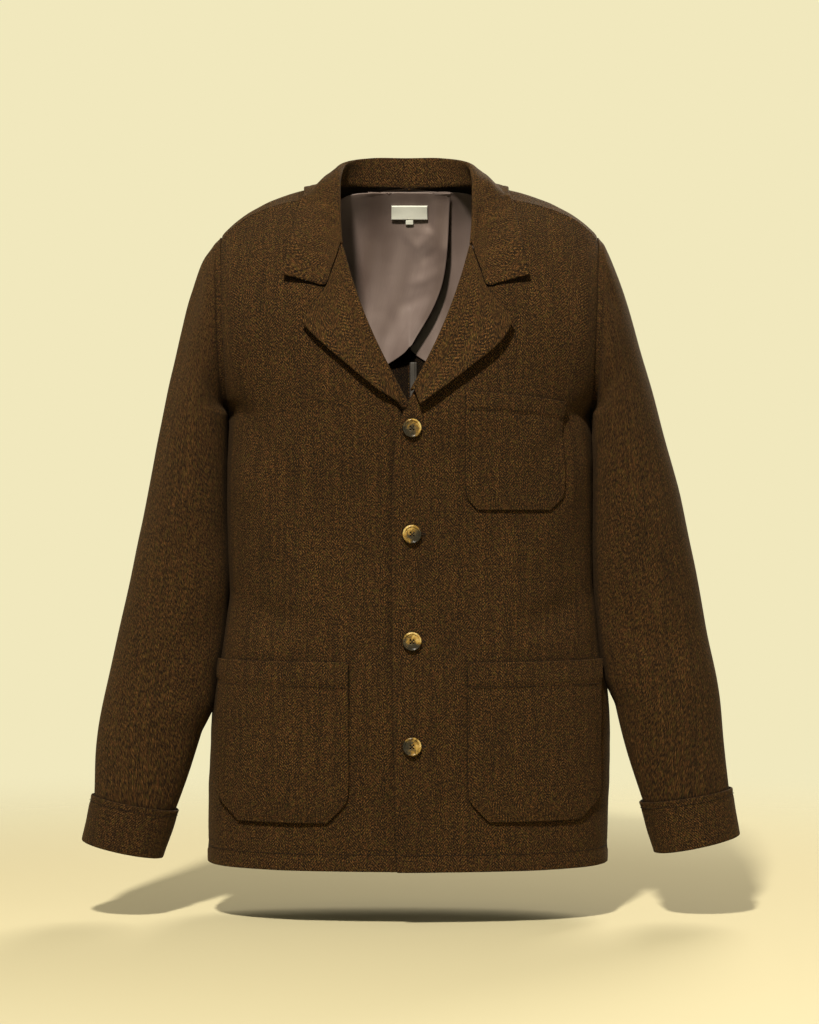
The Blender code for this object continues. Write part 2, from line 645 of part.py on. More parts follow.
def make_lapel(side, collection):
    sections = np.array([lapel_section(side, station) for station in LAPELS[side]])
    part_at_gorge(side, sections[0], 1.0)
    laid_loft("lapel_" + side, sections, lambda _: side, EDGE_LIFT, collection,
              flip=side == "right")


# ---- pockets ----------------------------------------------------------------------------------

def make_pocket(name, collection):
    pocket = POCKETS[name]
    front = FRONTS[pocket.side]
    sign = SIDES[pocket.side]

    def place(u, v):
        z = pocket.bottom + (pocket.top - pocket.bottom) * v
        above = z - pocket.bottom
        inner = pocket.inner + max(pocket.clip_inner - above, 0.0)
        outer = pocket.outer - max(pocket.clip_outer - above, 0.0)
        start, row = front.find(sign * inner, z)
        end, _ = front.find(sign * outer, z)
        closer_outside = (u + math.sin(math.pi * u / 2)) / 2
        across = start + (end - start) * closer_outside
        bulge = math.sin(math.pi * u) * math.sin(math.pi * min(0.15 + 0.75 * v, 1.0))
        out = CLOTH + LAID_GAP + pocket.swell * (0.3 + 0.7 * bulge)
        return front.point(across, row) + out * front.normal(across, row)

    cloth(name, place, POCKET_COLUMNS, POCKET_ROWS, CLOTH, collection,
          flip=pocket.side == "right")


# ---- lining, label and binding ----------------------------------------------------------------

def inside_back(x, z, depth):
    """A point at x and z, that far in from the outside of the backs."""
    side = "left" if x > 0 else "right"
    return BACKS[side].laid(x, z, -depth)


def lining_place(u, v):
    """Own-side x, z of a lobe: u from its free edge to the armhole, v from hem to neck."""
    top, hem = along(LINING_TOP, u), along(LINING_HEM, u)
    free, outer = along(LINING_FREE_EDGE, 1 - v), along(LINING_OUTER, 1 - v)
    corners = ((1 - u) * (1 - v) * np.array(LINING_HEM[0]) + u * (1 - v) * np.array(LINING_HEM[-1])
               + (1 - u) * v * np.array(LINING_TOP[0]) + u * v * np.array(LINING_TOP[-1]))
    return (1 - v) * hem + v * top + (1 - u) * free + u * outer - corners


def make_lining(side, depth, collection):
    def place(u, v):
        x, z = lining_place(u, v)
        return inside_back(SIDES[side] * x, z, depth)

    cloth("lining_" + side, place, LINING_COLUMNS, LINING_ROWS, SATIN, collection, "satin",
          flip=side == "right")


def make_strip(name, box, depth, columns, rows, collection, slot):
    """A flat strip laid on the inside of the backs, between x and z limits."""
    (x_from, x_to), (z_top, z_bottom) = box

    def place(u, v):
        return inside_back(x_from + (x_to - x_from) * u, z_bottom + (z_top - z_bottom) * v, depth)

    cloth(name, place, columns, rows, SATIN, collection, slot)


# ---- buttons ----------------------------------------------------------------------------------

def button_mesh():
    """A sew-through button: dished face with a raised rim, turned, then drilled."""
    radius, half = BUTTON_DIAMETER / 2, BUTTON_THICKNESS / 2
    profile = ((0.0, 0.35 * half), (0.52 * radius, 0.35 * half), (0.70 * radius, 0.75 * half),
               (0.84 * radius, half), (0.95 * radius, 0.75 * half), (radius, 0.1 * half),
               (0.93 * radius, -0.6 * half), (0.70 * radius, -half), (0.0, -half))
    bm = bmesh.new()
    verts = [bm.verts.new((x, 0.0, z)) for x, z in profile]
    edges = [bm.edges.new(pair) for pair in zip(verts, verts[1:])]
    bmesh.ops.spin(bm, geom=verts + edges, cent=(0, 0, 0), axis=(0, 0, 1), angle=2 * math.pi,
                   steps=BUTTON_FACETS, use_merge=True, use_duplicate=False)
    bmesh.ops.remove_doubles(bm, verts=bm.verts, dist=1e-6)
    bmesh.ops.recalc_face_normals(bm, faces=bm.faces)
    mesh = bpy.data.meshes.new("button")
    bm.to_mesh(mesh)
    bm.free()
    return mesh


def hole_cutter(name, place, collection):
    """Four thin drills through a button at its place."""
    bm = bmesh.new()
    half = BUTTON_HOLE_SPACING / 2
    for x in (-half, half):
        for y in (-half, half):
            bmesh.ops.create_cone(bm, cap_ends=True, segments=8, radius1=BUTTON_HOLE / 2,
                                  radius2=BUTTON_HOLE / 2, depth=4 * BUTTON_THICKNESS,
                                  matrix=Matrix.Translation((x, y, 0.0)))
    mesh = bpy.data.meshes.new(name)
    bm.to_mesh(mesh)
    bm.free()
    cutter = bpy.data.objects.new(name, mesh)
    cutter.matrix_world = place
    cutter.hide_render = True
    cutter.display_type = "WIRE"
    collection.objects.link(cutter)
    return cutter


def make_button(number, height, collection, cutters):
    front = FRONTS["left"]
    across, row = front.find(BUTTON_X, height)
    out = Vector(front.normal(across, row))
    centre = Vector(front.point(across, row)) + out * (BUTTON_THICKNESS / 2 + 0.0005)
    turn = out.to_track_quat("Z", "Y").to_matrix().to_4x4()
    place = Matrix.Translation(centre) @ turn
    button = link("button_%d" % number, button_mesh(), collection, "horn")
    button.matrix_world = place
    drill = button.modifiers.new("holes", "BOOLEAN")
    drill.operation = "DIFFERENCE"
    drill.object = hole_cutter("drill_%d" % number, place, cutters)


# ---- the whole jacket -------------------------------------------------------------------------

def clear_scene():
    for old in list(bpy.data.objects):
        bpy.data.objects.remove(old)


def new_collection(name):
    made = bpy.data.collections.new(name)
    bpy.context.scene.collection.children.link(made)
    return made


def main():
    clear_scene()
    jacket = new_collection("work_jacket")
    cutters = new_collection("cutters")
    for side in SIDES:
        make_panel("front_" + side, side, True, jacket)
        make_panel("back_" + side, side, False, jacket)
        make_sleeve(side, jacket)
        make_cuff(side, jacket)
        make_lapel(side, jacket)
    make_collar(jacket)
    for name in POCKETS:
        make_pocket(name, jacket)
    under = CLOTH + LINING_GAP + SATIN
    over = under + SATIN_GAP + SATIN
    make_lining("left", under, jacket)
    make_lining("right", over, jacket)
    make_strip("neck_label", LABEL, over + SATIN_GAP + SATIN, 4, 2, jacket, "woven_label")
    make_strip("size_tab", SIZE_TAB, over + SATIN_GAP + SATIN, 1, 1, jacket, "woven_label")
    make_strip("back_seam_binding", BINDING, under, 1, BINDING_ROWS, jacket, "binding")
    for number, height in enumerate(BUTTON_HEIGHTS, start=1):
        make_button(number, height, jacket, cutters)


main()
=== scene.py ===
import math
from collections import namedtuple

import bmesh
import bpy
import numpy as np
from mathutils import Matrix, Vector, noise
from mathutils.bvhtree import BVHTree


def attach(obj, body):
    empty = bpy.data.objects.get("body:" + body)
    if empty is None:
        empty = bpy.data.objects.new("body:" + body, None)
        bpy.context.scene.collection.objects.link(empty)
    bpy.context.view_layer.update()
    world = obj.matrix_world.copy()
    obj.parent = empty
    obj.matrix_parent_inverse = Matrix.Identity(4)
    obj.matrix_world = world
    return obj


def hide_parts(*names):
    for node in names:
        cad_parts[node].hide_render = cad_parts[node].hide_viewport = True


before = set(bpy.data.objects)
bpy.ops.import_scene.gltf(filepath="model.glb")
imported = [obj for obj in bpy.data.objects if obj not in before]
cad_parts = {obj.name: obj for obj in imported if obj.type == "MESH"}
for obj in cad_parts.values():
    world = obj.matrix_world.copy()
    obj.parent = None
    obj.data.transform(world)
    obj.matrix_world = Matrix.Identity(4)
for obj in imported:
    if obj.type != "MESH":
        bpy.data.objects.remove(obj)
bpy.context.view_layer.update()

scene = bpy.context.scene


# ---- Fronts and backs --------------------------------------------------------------------------
# Two fronts and two backs of heavy wool tweed, sewn at the sides, the shoulders and down the
# centre back. Each is one layer of cloth that keeps the roundness of a chest with nobody in it,
# and breaks into shallow folds below the armholes and across the waist.

SIDES = {"right": -1.0, "left": 1.0}
CLOTH = 0.0020          # one layer of tweed
SEAM_GAP = 0.0007       # between two panels at a seam
SHOULDER_GAP = 0.0015   # between a front and a back at the shoulder
OVERLAP_LIFT = 0.0046   # the left front's edge stands off the right front
EDGE_TUCK = 0.0018      # and the right front's edge is tucked in under it
NECK_X = -0.0035        # the neck opening hangs a little to the wearer's right
SIDE_SEAM_Y = 0.004
GARMENT_MIDDLE = np.array((0.0, SIDE_SEAM_Y, -0.3))

# Half widths, depths and how far each front reaches past the centre, at heights from the hem up.
Level = namedtuple("Level", "z right left front back right_edge left_edge")
LEVELS = (
    Level(-0.741, 0.2200, 0.2160, 0.110, 0.106, 0.020, 0.0130),
    Level(-0.680, 0.2195, 0.2170, 0.112, 0.109, 0.020, 0.0145),
    Level(-0.620, 0.2175, 0.2190, 0.114, 0.112, 0.020, 0.0160),
    Level(-0.560, 0.2140, 0.2170, 0.114, 0.110, 0.020, 0.0170),
    Level(-0.515, 0.2060, 0.2090, 0.113, 0.104, 0.020, 0.0175),
    Level(-0.465, 0.1980, 0.2040, 0.112, 0.099, 0.020, 0.0180),
    Level(-0.410, 0.1990, 0.2010, 0.113, 0.098, 0.020, 0.0185),
    Level(-0.340, 0.2000, 0.2010, 0.119, 0.103, 0.020, 0.0180),
    Level(-0.292, 0.1980, 0.2000, 0.123, 0.109, 0.017, 0.0145),
)
FLAT_FRONT = 0.64       # how far out a panel keeps its depth, as a share of its width
ROUND_SIDE = 0.70       # how squarely it then turns back to the side seam

# The armhole is a tilted ring between two points in own-side x and z, fuller near the lower one.
ARMHOLE_TOP = (0.206, -0.062)
ARMHOLE_BOTTOM = (0.197, -0.258)
ARMHOLE_HALF_DEPTH = 0.0715
ARMHOLE_FULLNESS = 0.12

# Rows of the chest and the shoulder blades, by the angle round the armhole from its lowest point.
YokeRow = namedtuple("YokeRow", "angle inner pull_in pull_out")
SHOULDER_SEAM = ((0.088, -0.014, -0.017), (0.040, -0.006, -0.010), (-0.0275, -0.002, 0.041))
FRONT_YOKE = (
    YokeRow(0, (0.000, -0.125, -0.256), (0.122, 0.000, 0.000), (0.000, -0.086, 0.000)),
    YokeRow(38, (0.019, -0.122, -0.215), (0.090, -0.002, 0.000), (-0.008, -0.042, 0.000)),
    YokeRow(72, (0.041, -0.110, -0.170), (0.066, -0.009, -0.002), (-0.014, -0.035, 0.003)),
    YokeRow(101, (0.0585, -0.093, -0.125), (0.054, -0.017, -0.002), (-0.019, -0.034, 0.006)),
    YokeRow(124, (0.070, -0.073, -0.085), (0.047, -0.016, 0.002), (-0.024, -0.029, 0.013)),
    YokeRow(141, (0.080, -0.046, -0.050), (0.042, -0.012, -0.002), (-0.028, -0.017, 0.024)),
    YokeRow(154, *SHOULDER_SEAM),
)
BACK_YOKE = (
    YokeRow(0, (0.000, 0.113, -0.250), (0.120, 0.000, 0.000), (0.000, 0.078, 0.000)),
    YokeRow(38, (0.000, 0.116, -0.205), (0.114, 0.001, 0.000), (-0.007, 0.036, 0.002)),
    YokeRow(72, (0.000, 0.117, -0.155), (0.105, 0.002, -0.002), (-0.015, 0.033, 0.002)),
    YokeRow(101, (0.000, 0.111, -0.108), (0.100, 0.005, -0.002), (-0.021, 0.036, 0.005)),
    YokeRow(124, (0.000, 0.100, -0.066), (0.095, 0.006, -0.002), (-0.025, 0.037, 0.011)),
    YokeRow(144, (0.000, 0.085, -0.030), (0.088, 0.005, -0.004), (-0.0295, 0.0365, 0.021)),
    YokeRow(163, (0.000, 0.066, 0.000), (0.075, 0.000, -0.008), (-0.0335, 0.030, 0.032)),
    YokeRow(180, (0.046, 0.054, 0.001), (0.052, -0.006, -0.005), (-0.038, 0.0245, 0.042)),
    YokeRow(193, (0.078, 0.024, -0.003), (0.040, -0.008, -0.006), (-0.036, 0.0147, 0.0445)),
    YokeRow(206, *SHOULDER_SEAM),
)
NAPE_ROW = 6
FRONT_BREAK = {"right": 0.001, "left": -0.006}      # where the fronts part above the first button
ARMHOLE_ROW = len(LEVELS)

# A place on a panel is sought from the nearest of a grid of guesses, in a few rounds.
GUESSES_ACROSS = 13
GUESSES_TO_A_ROW = 3
FIND_ROUNDS = 9
FIND_STEP = 0.001
PAST_EDGE = 0.12        # places this far past the inner edge are found too


def curve(points, place, corner=-9):
    """Points at places, counted in steps, on a smooth curve that may turn at a corner."""
    points = np.asarray(points, dtype=float)
    place = np.asarray(place, dtype=float)
    last = len(points) - 1
    step = np.clip(np.floor(place), 0, last - 1).astype(int)
    wide = place.shape + (1,) * (points.ndim - 1)
    t = (place - step).reshape(wide)
    start, end = points[step], points[step + 1]
    starts = ((step == 0) | (step == corner)).reshape(wide)
    ends = ((step + 1 == last) | (step + 1 == corner)).reshape(wide)
    before = np.where(starts, 2 * start - end, points[np.maximum(step - 1, 0)])
    after = np.where(ends, 2 * end - start, points[np.minimum(step + 2, last)])
    return 0.5 * (2 * start + (end - before) * t
                  + (2 * before - 5 * start + 4 * end - after) * t ** 2
                  + (3 * start - before - 3 * end + after) * t ** 3)


def unit(vectors):
    return vectors / np.linalg.norm(vectors, axis=-1, keepdims=True)


def armhole_point(angle, sign, offset=0.0):
    """Own-side points of the armhole at angles from its lowest point; sign -1 is the front."""
    rise = (1.0 - np.cos(angle)) / 2.0
    x = ARMHOLE_BOTTOM[0] + (ARMHOLE_TOP[0] - ARMHOLE_BOTTOM[0]) * rise
    z = ARMHOLE_BOTTOM[1] + (ARMHOLE_TOP[1] - ARMHOLE_BOTTOM[1]) * rise
    egg = 1.0 + ARMHOLE_FULLNESS * np.cos(angle)
    y = SIDE_SEAM_Y + sign * ARMHOLE_HALF_DEPTH * egg * np.sin(angle)
    return np.stack((x + offset, y, z), axis=-1)


class Panel:
    """A body panel's form: rows of cubic curves from its inner edge out to its side."""

    def __init__(self, side, rows, corners, folds):
        self.mirror = np.array((SIDES[side], 1.0, 1.0))
        self.rows = np.array(rows, dtype=float)
        self.last = len(rows) - 1
        self.corners = corners
        self.folds = folds
        across, row = np.meshgrid(np.linspace(0, 1, GUESSES_ACROSS),
                                  np.linspace(0, self.last, GUESSES_TO_A_ROW * self.last + 1))
        self.guesses = np.stack((across.ravel(), row.ravel()), axis=-1)
        self.guess_places = self.point(*self.guesses.T)[:, [0, 2]]

    def point(self, across, row):
        handles = curve(self.rows, row)
        for column, corner in self.corners.items():
            handles[:, column] = curve(self.rows[:, column], row, corner)
        a, b = 1 - across, across
        weights = np.stack((a ** 3, 3 * a ** 2 * b, 3 * a * b ** 2, b ** 3), axis=-1)
        return np.einsum("mk,mkc->mc", weights, handles) * self.mirror

    def normal(self, across, row, step=0.004):
        low, high = np.maximum(row - step, 0.0), np.minimum(row + step, self.last)
        up = self.point(across, high) - self.point(across, low)
        out = self.point(across + step, row) - self.point(across - step, row)
        normals = unit(np.cross(out, up))
        facing = np.sum(normals * (self.point(across, row) - GARMENT_MIDDLE), axis=-1)
        return normals * np.where(facing > 0, 1.0, -1.0)[:, None]

    def find(self, x, z):
        """Across and row of the points at given x and z."""
        goal = np.stack((x, z), axis=-1)
        apart = np.linalg.norm(self.guess_places[None] - goal[:, None], axis=-1)
        across, row = self.guesses[np.argmin(apart, axis=1)].T
        step = FIND_STEP
        for _ in range(FIND_ROUNDS):
            here = self.point(across, row)[:, [0, 2]]
            d_across = (self.point(across + step, row)[:, [0, 2]] - here) / step
            d_row = (self.point(across, row + step)[:, [0, 2]] - here) / step
            slope = np.stack((d_across, d_row), axis=-1)
            move = np.linalg.solve(slope, (goal - here)[..., None])[..., 0]
            across = np.clip(across + move[:, 0], -PAST_EDGE, 1.0)
            row = np.clip(row + move[:, 1], 0.0, self.last - step)
        return across, row

    def dressed(self, across, row, out=0.0):
        """Points with the folds in, moved out by `out` from there."""
        points = self.point(across, row)
        lift = relief(points * self.mirror, self.folds) + out
        return points + lift[:, None] * self.normal(across, row)

    def laid(self, x, z, out):
        return self.dressed(*self.find(x, z), out)


# A fold runs through its points (own-side x, z), `width` across and `height` high; a trough is
# below zero. Wool this heavy bends over 10 to 30 mm and never creases sharply.
Fold = namedtuple("Fold", "points width height")
LUMPS = ((0.0011, 0.055, 1), (0.0004, 0.018, 2))    # height, size and seed
FOLD_WANDER = 0.45      # a fold's height wanders by this share, in lengths of 45 mm
FOLD_WANDER_SIZE = 0.045
FRONT_FOLDS = (
    Fold(((0.190, -0.235), (0.165, -0.275), (0.120, -0.330)), 0.013, -0.0022),
    Fold(((0.196, -0.285), (0.172, -0.330), (0.150, -0.400)), 0.015, 0.0020),
    Fold(((0.060, -0.300), (0.072, -0.400), (0.060, -0.500)), 0.026, -0.0018),
    Fold(((0.110, -0.390), (0.105, -0.470), (0.112, -0.560)), 0.022, 0.0020),
    Fold(((0.200, -0.440), (0.160, -0.468), (0.110, -0.478)), 0.016, -0.0042),
    Fold(((0.195, -0.500), (0.150, -0.508), (0.110, -0.500)), 0.014, 0.0016),
    Fold(((0.035, -0.560), (0.042, -0.650), (0.034, -0.741)), 0.016, -0.0020),
    Fold(((0.120, -0.650), (0.124, -0.700), (0.130, -0.741)), 0.022, 0.0016),
    Fold(((0.150, -0.060), (0.160, -0.120), (0.150, -0.190)), 0.016, -0.0016),
    Fold(((0.185, -0.110), (0.180, -0.160), (0.184, -0.220)), 0.010, 0.0014),
)
BACK_FOLDS = (
    Fold(((0.192, -0.200), (0.160, -0.260), (0.110, -0.330)), 0.014, -0.0026),
    Fold(((0.196, -0.270), (0.165, -0.330), (0.125, -0.410)), 0.016, 0.0024),
    Fold(((0.050, -0.150), (0.060, -0.250), (0.055, -0.360)), 0.026, -0.0018),
    Fold(((0.190, -0.430), (0.130, -0.460), (0.050, -0.468)), 0.018, -0.0028),
    Fold(((0.180, -0.480), (0.110, -0.500), (0.040, -0.496)), 0.016, 0.0022),
    Fold(((0.080, -0.560), (0.092, -0.650), (0.085, -0.741)), 0.024, -0.0042),
    Fold(((0.140, -0.590), (0.148, -0.660), (0.146, -0.741)), 0.020, 0.0022),
    Fold(((0.020, -0.540), (0.026, -0.640), (0.022, -0.741)), 0.018, 0.0016),
)


def distance_along(places, line):
    """Distance of flat places from a line of points, and the share along the line."""
    nearest = np.full(len(places), 1e9)
    share = np.zeros(len(places))
    count = len(line) - 1
    for number, (start, end) in enumerate(zip(line, line[1:])):
        start, run = np.array(start), np.array(end) - np.array(start)
        t = np.clip((places - start) @ run / (run @ run), 0.0, 1.0)
        apart = np.linalg.norm(places - start - t[:, None] * run, axis=1)
        closer = apart < nearest
        nearest = np.where(closer, apart, nearest)
        share = np.where(closer, (number + t) / count, share)
    return nearest, share


def uneven(points, size, seed):
    """Soft noise from -1 to 1 at points, with lumps of about `size` metres."""
    shift = Vector((seed * 3.1, seed * 1.7, seed * 2.3))
    return np.array([noise.noise(Vector(point) / size + shift) for point in points])


def fold_rise(fold, places, line, trim, power=0.7):
    """Height of one fold at flat places round its line, dying out towards the line's ends."""
    apart, share = distance_along(places, line)
    taper = np.sin(np.pi * np.clip(share, trim, 1 - trim)) ** power
    return fold.height * taper * np.exp(-(apart / fold.width) ** 2)


def relief(points, folds):
    """Height of the folds at own-side points, uneven along each of them."""
    height = sum(rise * uneven(points, size, seed) for rise, size, seed in LUMPS)
    for number, fold in enumerate(folds):
        wander = 1.0 + FOLD_WANDER * uneven(points, FOLD_WANDER_SIZE, number + 3)
        height += wander * fold_rise(fold, points[:, [0, 2]], fold.points, 0.06)
    return height


def lumpy(grid, height, size, seed):
    """Heights of soft lumps over a grid."""
    return height * uneven(grid.reshape(-1, 3), size, seed).reshape(grid.shape[:2])


def edge_lift(side):
    """How far a front's edge stands forward where the left front laps over the right one."""
    return OVERLAP_LIFT if side == "left" else -EDGE_TUCK


def trunk_rows(side, front):
    """Rows of four handles from the hem up to the armhole, each from the inner edge outwards."""
    sign = -1.0 if front else 1.0
    rows = []
    for level in LEVELS:
        width = getattr(level, side)
        depth = level.front if front else level.back
        start_x = -getattr(level, side + "_edge") if front else SEAM_GAP / 2
        lift = edge_lift(side) if front else 0.0
        seam_y = SIDE_SEAM_Y + sign * SEAM_GAP / 2
        rows.append((
            (start_x, sign * (depth + lift), level.z),
            (start_x + FLAT_FRONT * (width - start_x), sign * depth, level.z),
            (width, seam_y + sign * ROUND_SIDE * (depth - SIDE_SEAM_Y * sign), level.z),
            (width, seam_y, level.z),
        ))
    return rows


def yoke_rows(side, front):
    """Rows of four handles from the lowest point of the armhole up to the shoulder seam."""
    sign = -1.0 if front else 1.0
    rows = []
    for row in FRONT_YOKE if front else BACK_YOKE:
        inner = np.array(row.inner)
        inner[0] += SIDES[side] * NECK_X
        if front and row.angle == 0:
            inner[0] = FRONT_BREAK[side]
            inner[1] -= edge_lift(side)
        if not front and inner[2] < 0.0005:
            inner[0] = max(inner[0], 0.0) if row.inner[0] else SEAM_GAP / 2
        outer = armhole_point(math.radians(row.angle), sign, -SEAM_GAP / 2)
        if row.angle == 0:
            outer[1] += sign * SEAM_GAP / 2
        if row.inner == SHOULDER_SEAM[0]:
            along_seam = np.array((0.0, -1.0, -0.4)) if front else np.array((0.0, 1.0, 0.4))
            inner += along_seam * SHOULDER_GAP / 2
            outer += along_seam * SHOULDER_GAP / 2
        rows.append((inner, inner + np.array(row.pull_in), outer + np.array(row.pull_out), outer))
    return rows


def body_panel(side, front):
    inner_edge, side_edge = 0, 3
    corners = {side_edge: ARMHOLE_ROW}
    if not front:
        corners[inner_edge] = ARMHOLE_ROW + NAPE_ROW
    rows = trunk_rows(side, front) + yoke_rows(side, front)
    return Panel(side, rows, corners, FRONT_FOLDS if front else BACK_FOLDS)


FRONTS = {side: body_panel(side, True) for side in SIDES}
BACKS = {side: body_panel(side, False) for side in SIDES}


# ---- Tweed and sewing --------------------------------------------------------------------------
# Small functions that put shader nodes together, the tweeds, and how a piece of cloth is sewn:
# its grid of points gets rounded edges, stitched grooves, a wall, and its flat size worked out but not
# kept.


def linear(colour):
    """Linear RGBA of an sRGB hex colour."""
    parts = [int(colour[place:place + 2], 16) / 255 for place in (1, 3, 5)]
    return [part / 12.92 if part <= 0.04045 else ((part + 0.055) / 1.055) ** 2.4
            for part in parts] + [1.0]


def add_node(tree, kind, inputs=None, **settings):
    """Add a shader node with its settings, values and links."""
    made = tree.nodes.new("ShaderNode" + kind)
    for name, value in settings.items():
        setattr(made, name, value)
    for key, value in (inputs or {}).items():
        if isinstance(value, bpy.types.NodeSocket):
            tree.links.new(value, made.inputs[key])
        else:
            made.inputs[key].default_value = value
    return made


def socket(tree, kind, inputs=None, **settings):
    """The first output of a new shader node."""
    return add_node(tree, kind, inputs, **settings).outputs[0]


def maths(tree, operation, *values):
    """The result of a sum on values or sockets."""
    return socket(tree, "Math", dict(enumerate(values)), operation=operation)


def scaled(tree, vector, factor):
    return socket(tree, "VectorMath", {0: vector, 3: factor}, operation="SCALE")


def spread(tree, value, low, high, to_low, to_high):
    """A value with its range from low to high stretched on to another range."""
    return socket(tree, "MapRange", {0: value, 1: low, 2: high, 3: to_low, 4: to_high})


def blend(tree, share, first, second):
    return add_node(tree, "Mix", {0: share, 6: first, 7: second}, data_type="RGBA").outputs[2]


def ramp(tree, value, stops):
    """A value's colour on a scale of places and hex colours."""
    made = add_node(tree, "ValToRGB", {0: value})
    elements = made.color_ramp.elements
    while len(elements) < len(stops):
        elements.new(0.5)
    for element, (at, colour) in zip(elements, stops):
        element.position = at
        element.color = linear(colour)
    return made.outputs[0]


def cloth_mm(tree):
    """Places on the cloth, in millimetres."""
    return scaled(tree, socket(tree, "UVMap", uv_map="cloth"), 1000.0)


def streaky(tree, place, lumps, detail=2.0):
    """Noise drawn out into streaks, with so many lumps to a unit across and along."""
    stretched = socket(tree, "Mapping", {"Vector": place, "Scale": (*lumps, 1.0)})
    return socket(tree, "TexNoise", {"Vector": stretched, "Scale": 1.0, "Detail": detail})


def dye(tree, shader, colour):
    tree.links.new(colour, shader.inputs["Base Color"])


def emboss(tree, shader, height, strength, depth):
    bump = socket(tree, "Bump", {"Height": height, "Strength": strength, "Distance": depth})
    tree.links.new(bump, shader.inputs["Normal"])


def new_material(name, **constants):
    """A material with its shader's constant sockets set."""
    made = bpy.data.materials.new(name)
    made.use_nodes = True
    tree = made.node_tree
    shader = tree.nodes["Principled BSDF"]
    for key, value in constants.items():
        shader.inputs[key.replace("_", " ")].default_value = value
    return made, tree, shader


# Heather tweed: a fine twill of yarns dyed in several browns, in herringbone columns on the body
# and straight on the sleeves. The wool is rough and dull, with a faint warm nap at grazing angles.
WALE = 2.2              # mm from one twill line to the next
HERRINGBONE = 13.0      # mm width of a column
FLOAT_WIDTH = 0.85      # mm across a float of yarn, and its length along the twill
FLOAT_LENGTH = 1.7
TWILL_SLOPE = 1.15
SWAY = 3.0              # mm that the twill lines of hand-spun yarn wander by, from trough to crest
YARN_COLOURS = ((0.14, "#080401"), (0.34, "#140b03"), (0.50, "#271907"), (0.64, "#40290e"),
                (0.86, "#70502b"))
NEP_COLOURS = ((0.90, "#643e20"), (0.86, "#4f441a"), (0.84, "#0d0702"))     # and how rare each is
NEP_SHARE = 0.30        # of a fleck's colour, over the yarn's own


def tweed(name, lean=1.0, column=HERRINGBONE, tone=1.0):
    """Tweed whose twill leans to one side, or turns back and forth if it has columns."""
    made, tree, shader = new_material(name, Roughness=0.95, Sheen_Weight=0.05, Sheen_Roughness=0.5,
                                      Specular_IOR_Level=0.15)
    shader.inputs["Sheen Tint"].default_value = linear("#b88c54")
    mm = cloth_mm(tree)
    place = add_node(tree, "SeparateXYZ", {0: mm})
    across = place.outputs[0]
    if column:
        across = maths(tree, "PINGPONG", across, column)
    wander = socket(tree, "TexNoise", {"Vector": mm, "Scale": 0.10, "Detail": 1.0})
    leaning = maths(tree, "MULTIPLY_ADD", across, -lean * TWILL_SLOPE, place.outputs[1])
    swayed = maths(tree, "MULTIPLY_ADD", wander, SWAY, leaning)
    slant = math.hypot(1.0, TWILL_SLOPE)
    wale = maths(tree, "SINE", maths(tree, "MULTIPLY", swayed, 2 * math.pi / (WALE * slant)))
    # floats: short dashes of yarn that lie along the twill, each its own brown
    over_float = maths(tree, "MULTIPLY", swayed, 1 / (FLOAT_WIDTH * slant))
    along_float = maths(tree, "MULTIPLY", place.outputs[0], slant / FLOAT_LENGTH)
    float_place = socket(tree, "CombineXYZ", {0: over_float, 1: along_float})
    floats = socket(tree, "TexNoise", {"Vector": float_place, "Scale": 1.0, "Detail": 1.0,
                                       "Roughness": 0.6})
    wide = spread(tree, floats, 0.30, 0.70, 0.10, 0.86)
    colour = ramp(tree, maths(tree, "MULTIPLY_ADD", wale, 0.12, wide), YARN_COLOURS)
    # some yarns are spun from rust, olive or black wool: 2 mm flecks, a little longer than wide
    nep_place = socket(tree, "Mapping", {"Vector": mm, "Scale": (0.75, 0.50, 1.0)})
    neps = add_node(tree, "TexVoronoi", {"Vector": nep_place, "Scale": 1.0}, feature="F1")
    nep = add_node(tree, "SeparateColor", {0: neps.outputs["Color"]})
    for chance, (rarity, shade) in zip(nep.outputs, NEP_COLOURS):
        chosen = maths(tree, "GREATER_THAN", chance, rarity)
        colour = blend(tree, maths(tree, "MULTIPLY", chosen, NEP_SHARE), colour, linear(shade))
    # warp streaks, 5 mm wide and 90 mm long
    streaks = spread(tree, streaky(tree, mm, (0.20, 0.011)), 0.3, 0.7, 0.76 * tone, 1.24 * tone)
    # painted shade: ambient occlusion darkens the colour in seams, under edges and in folds
    crevice = add_node(tree, "AmbientOcclusion", {"Distance": 0.012}, samples=8)
    painted_crevice_shade = spread(tree, crevice.outputs["AO"], 0.15, 0.85, 0.15, 1.0)
    dye(tree, shader, scaled(tree, scaled(tree, colour, streaks), painted_crevice_shade))
    emboss(tree, shader, maths(tree, "MULTIPLY_ADD", wale, 0.25, wide), 0.6, 0.0005)
    return made


BODY_TWEED = tweed("tweed_herringbone", tone=0.90)
SLEEVE_TWEED = tweed("tweed_twill", lean=1.0, column=None, tone=0.92)
CUFF_TWEED = tweed("tweed_cuff", lean=-1.0, column=None, tone=0.84)
INSIDE_PAINTED_SHADE = tweed("tweed_inside_painted_shade", tone=0.20)       # the inside of each panel is painted at a fifth of the tone, as painted shade for the jacket's interior
COLLAR_PAINTED_LIGHT_TWEED = tweed("tweed_collar_painted_light", tone=0.99)       # the collar and lapels are painted about a tenth lighter than the body, as painted light


EDGE_LINES = (0.0005, 0.0012, 0.0022, 0.0036)      # extra lines so far in from an edge
LEAST_SPACING = 0.0002
SEAM_DRAW = 0.0010      # how far a seam's edge is drawn over, and what width of cloth follows
SEAM_DRAW_WIDTH = 0.0025
LEAST_AREA = 0.31       # of the rectangle that a piece is cut from


def lengths(grid, axis):
    """Length of cloth from a grid's start to each point, along an axis."""
    steps = np.linalg.norm(np.diff(grid, axis=axis), axis=-1)
    first = np.zeros_like(np.take(steps, [0], axis=axis))
    return np.concatenate((first, np.cumsum(steps, axis=axis)), axis=axis)


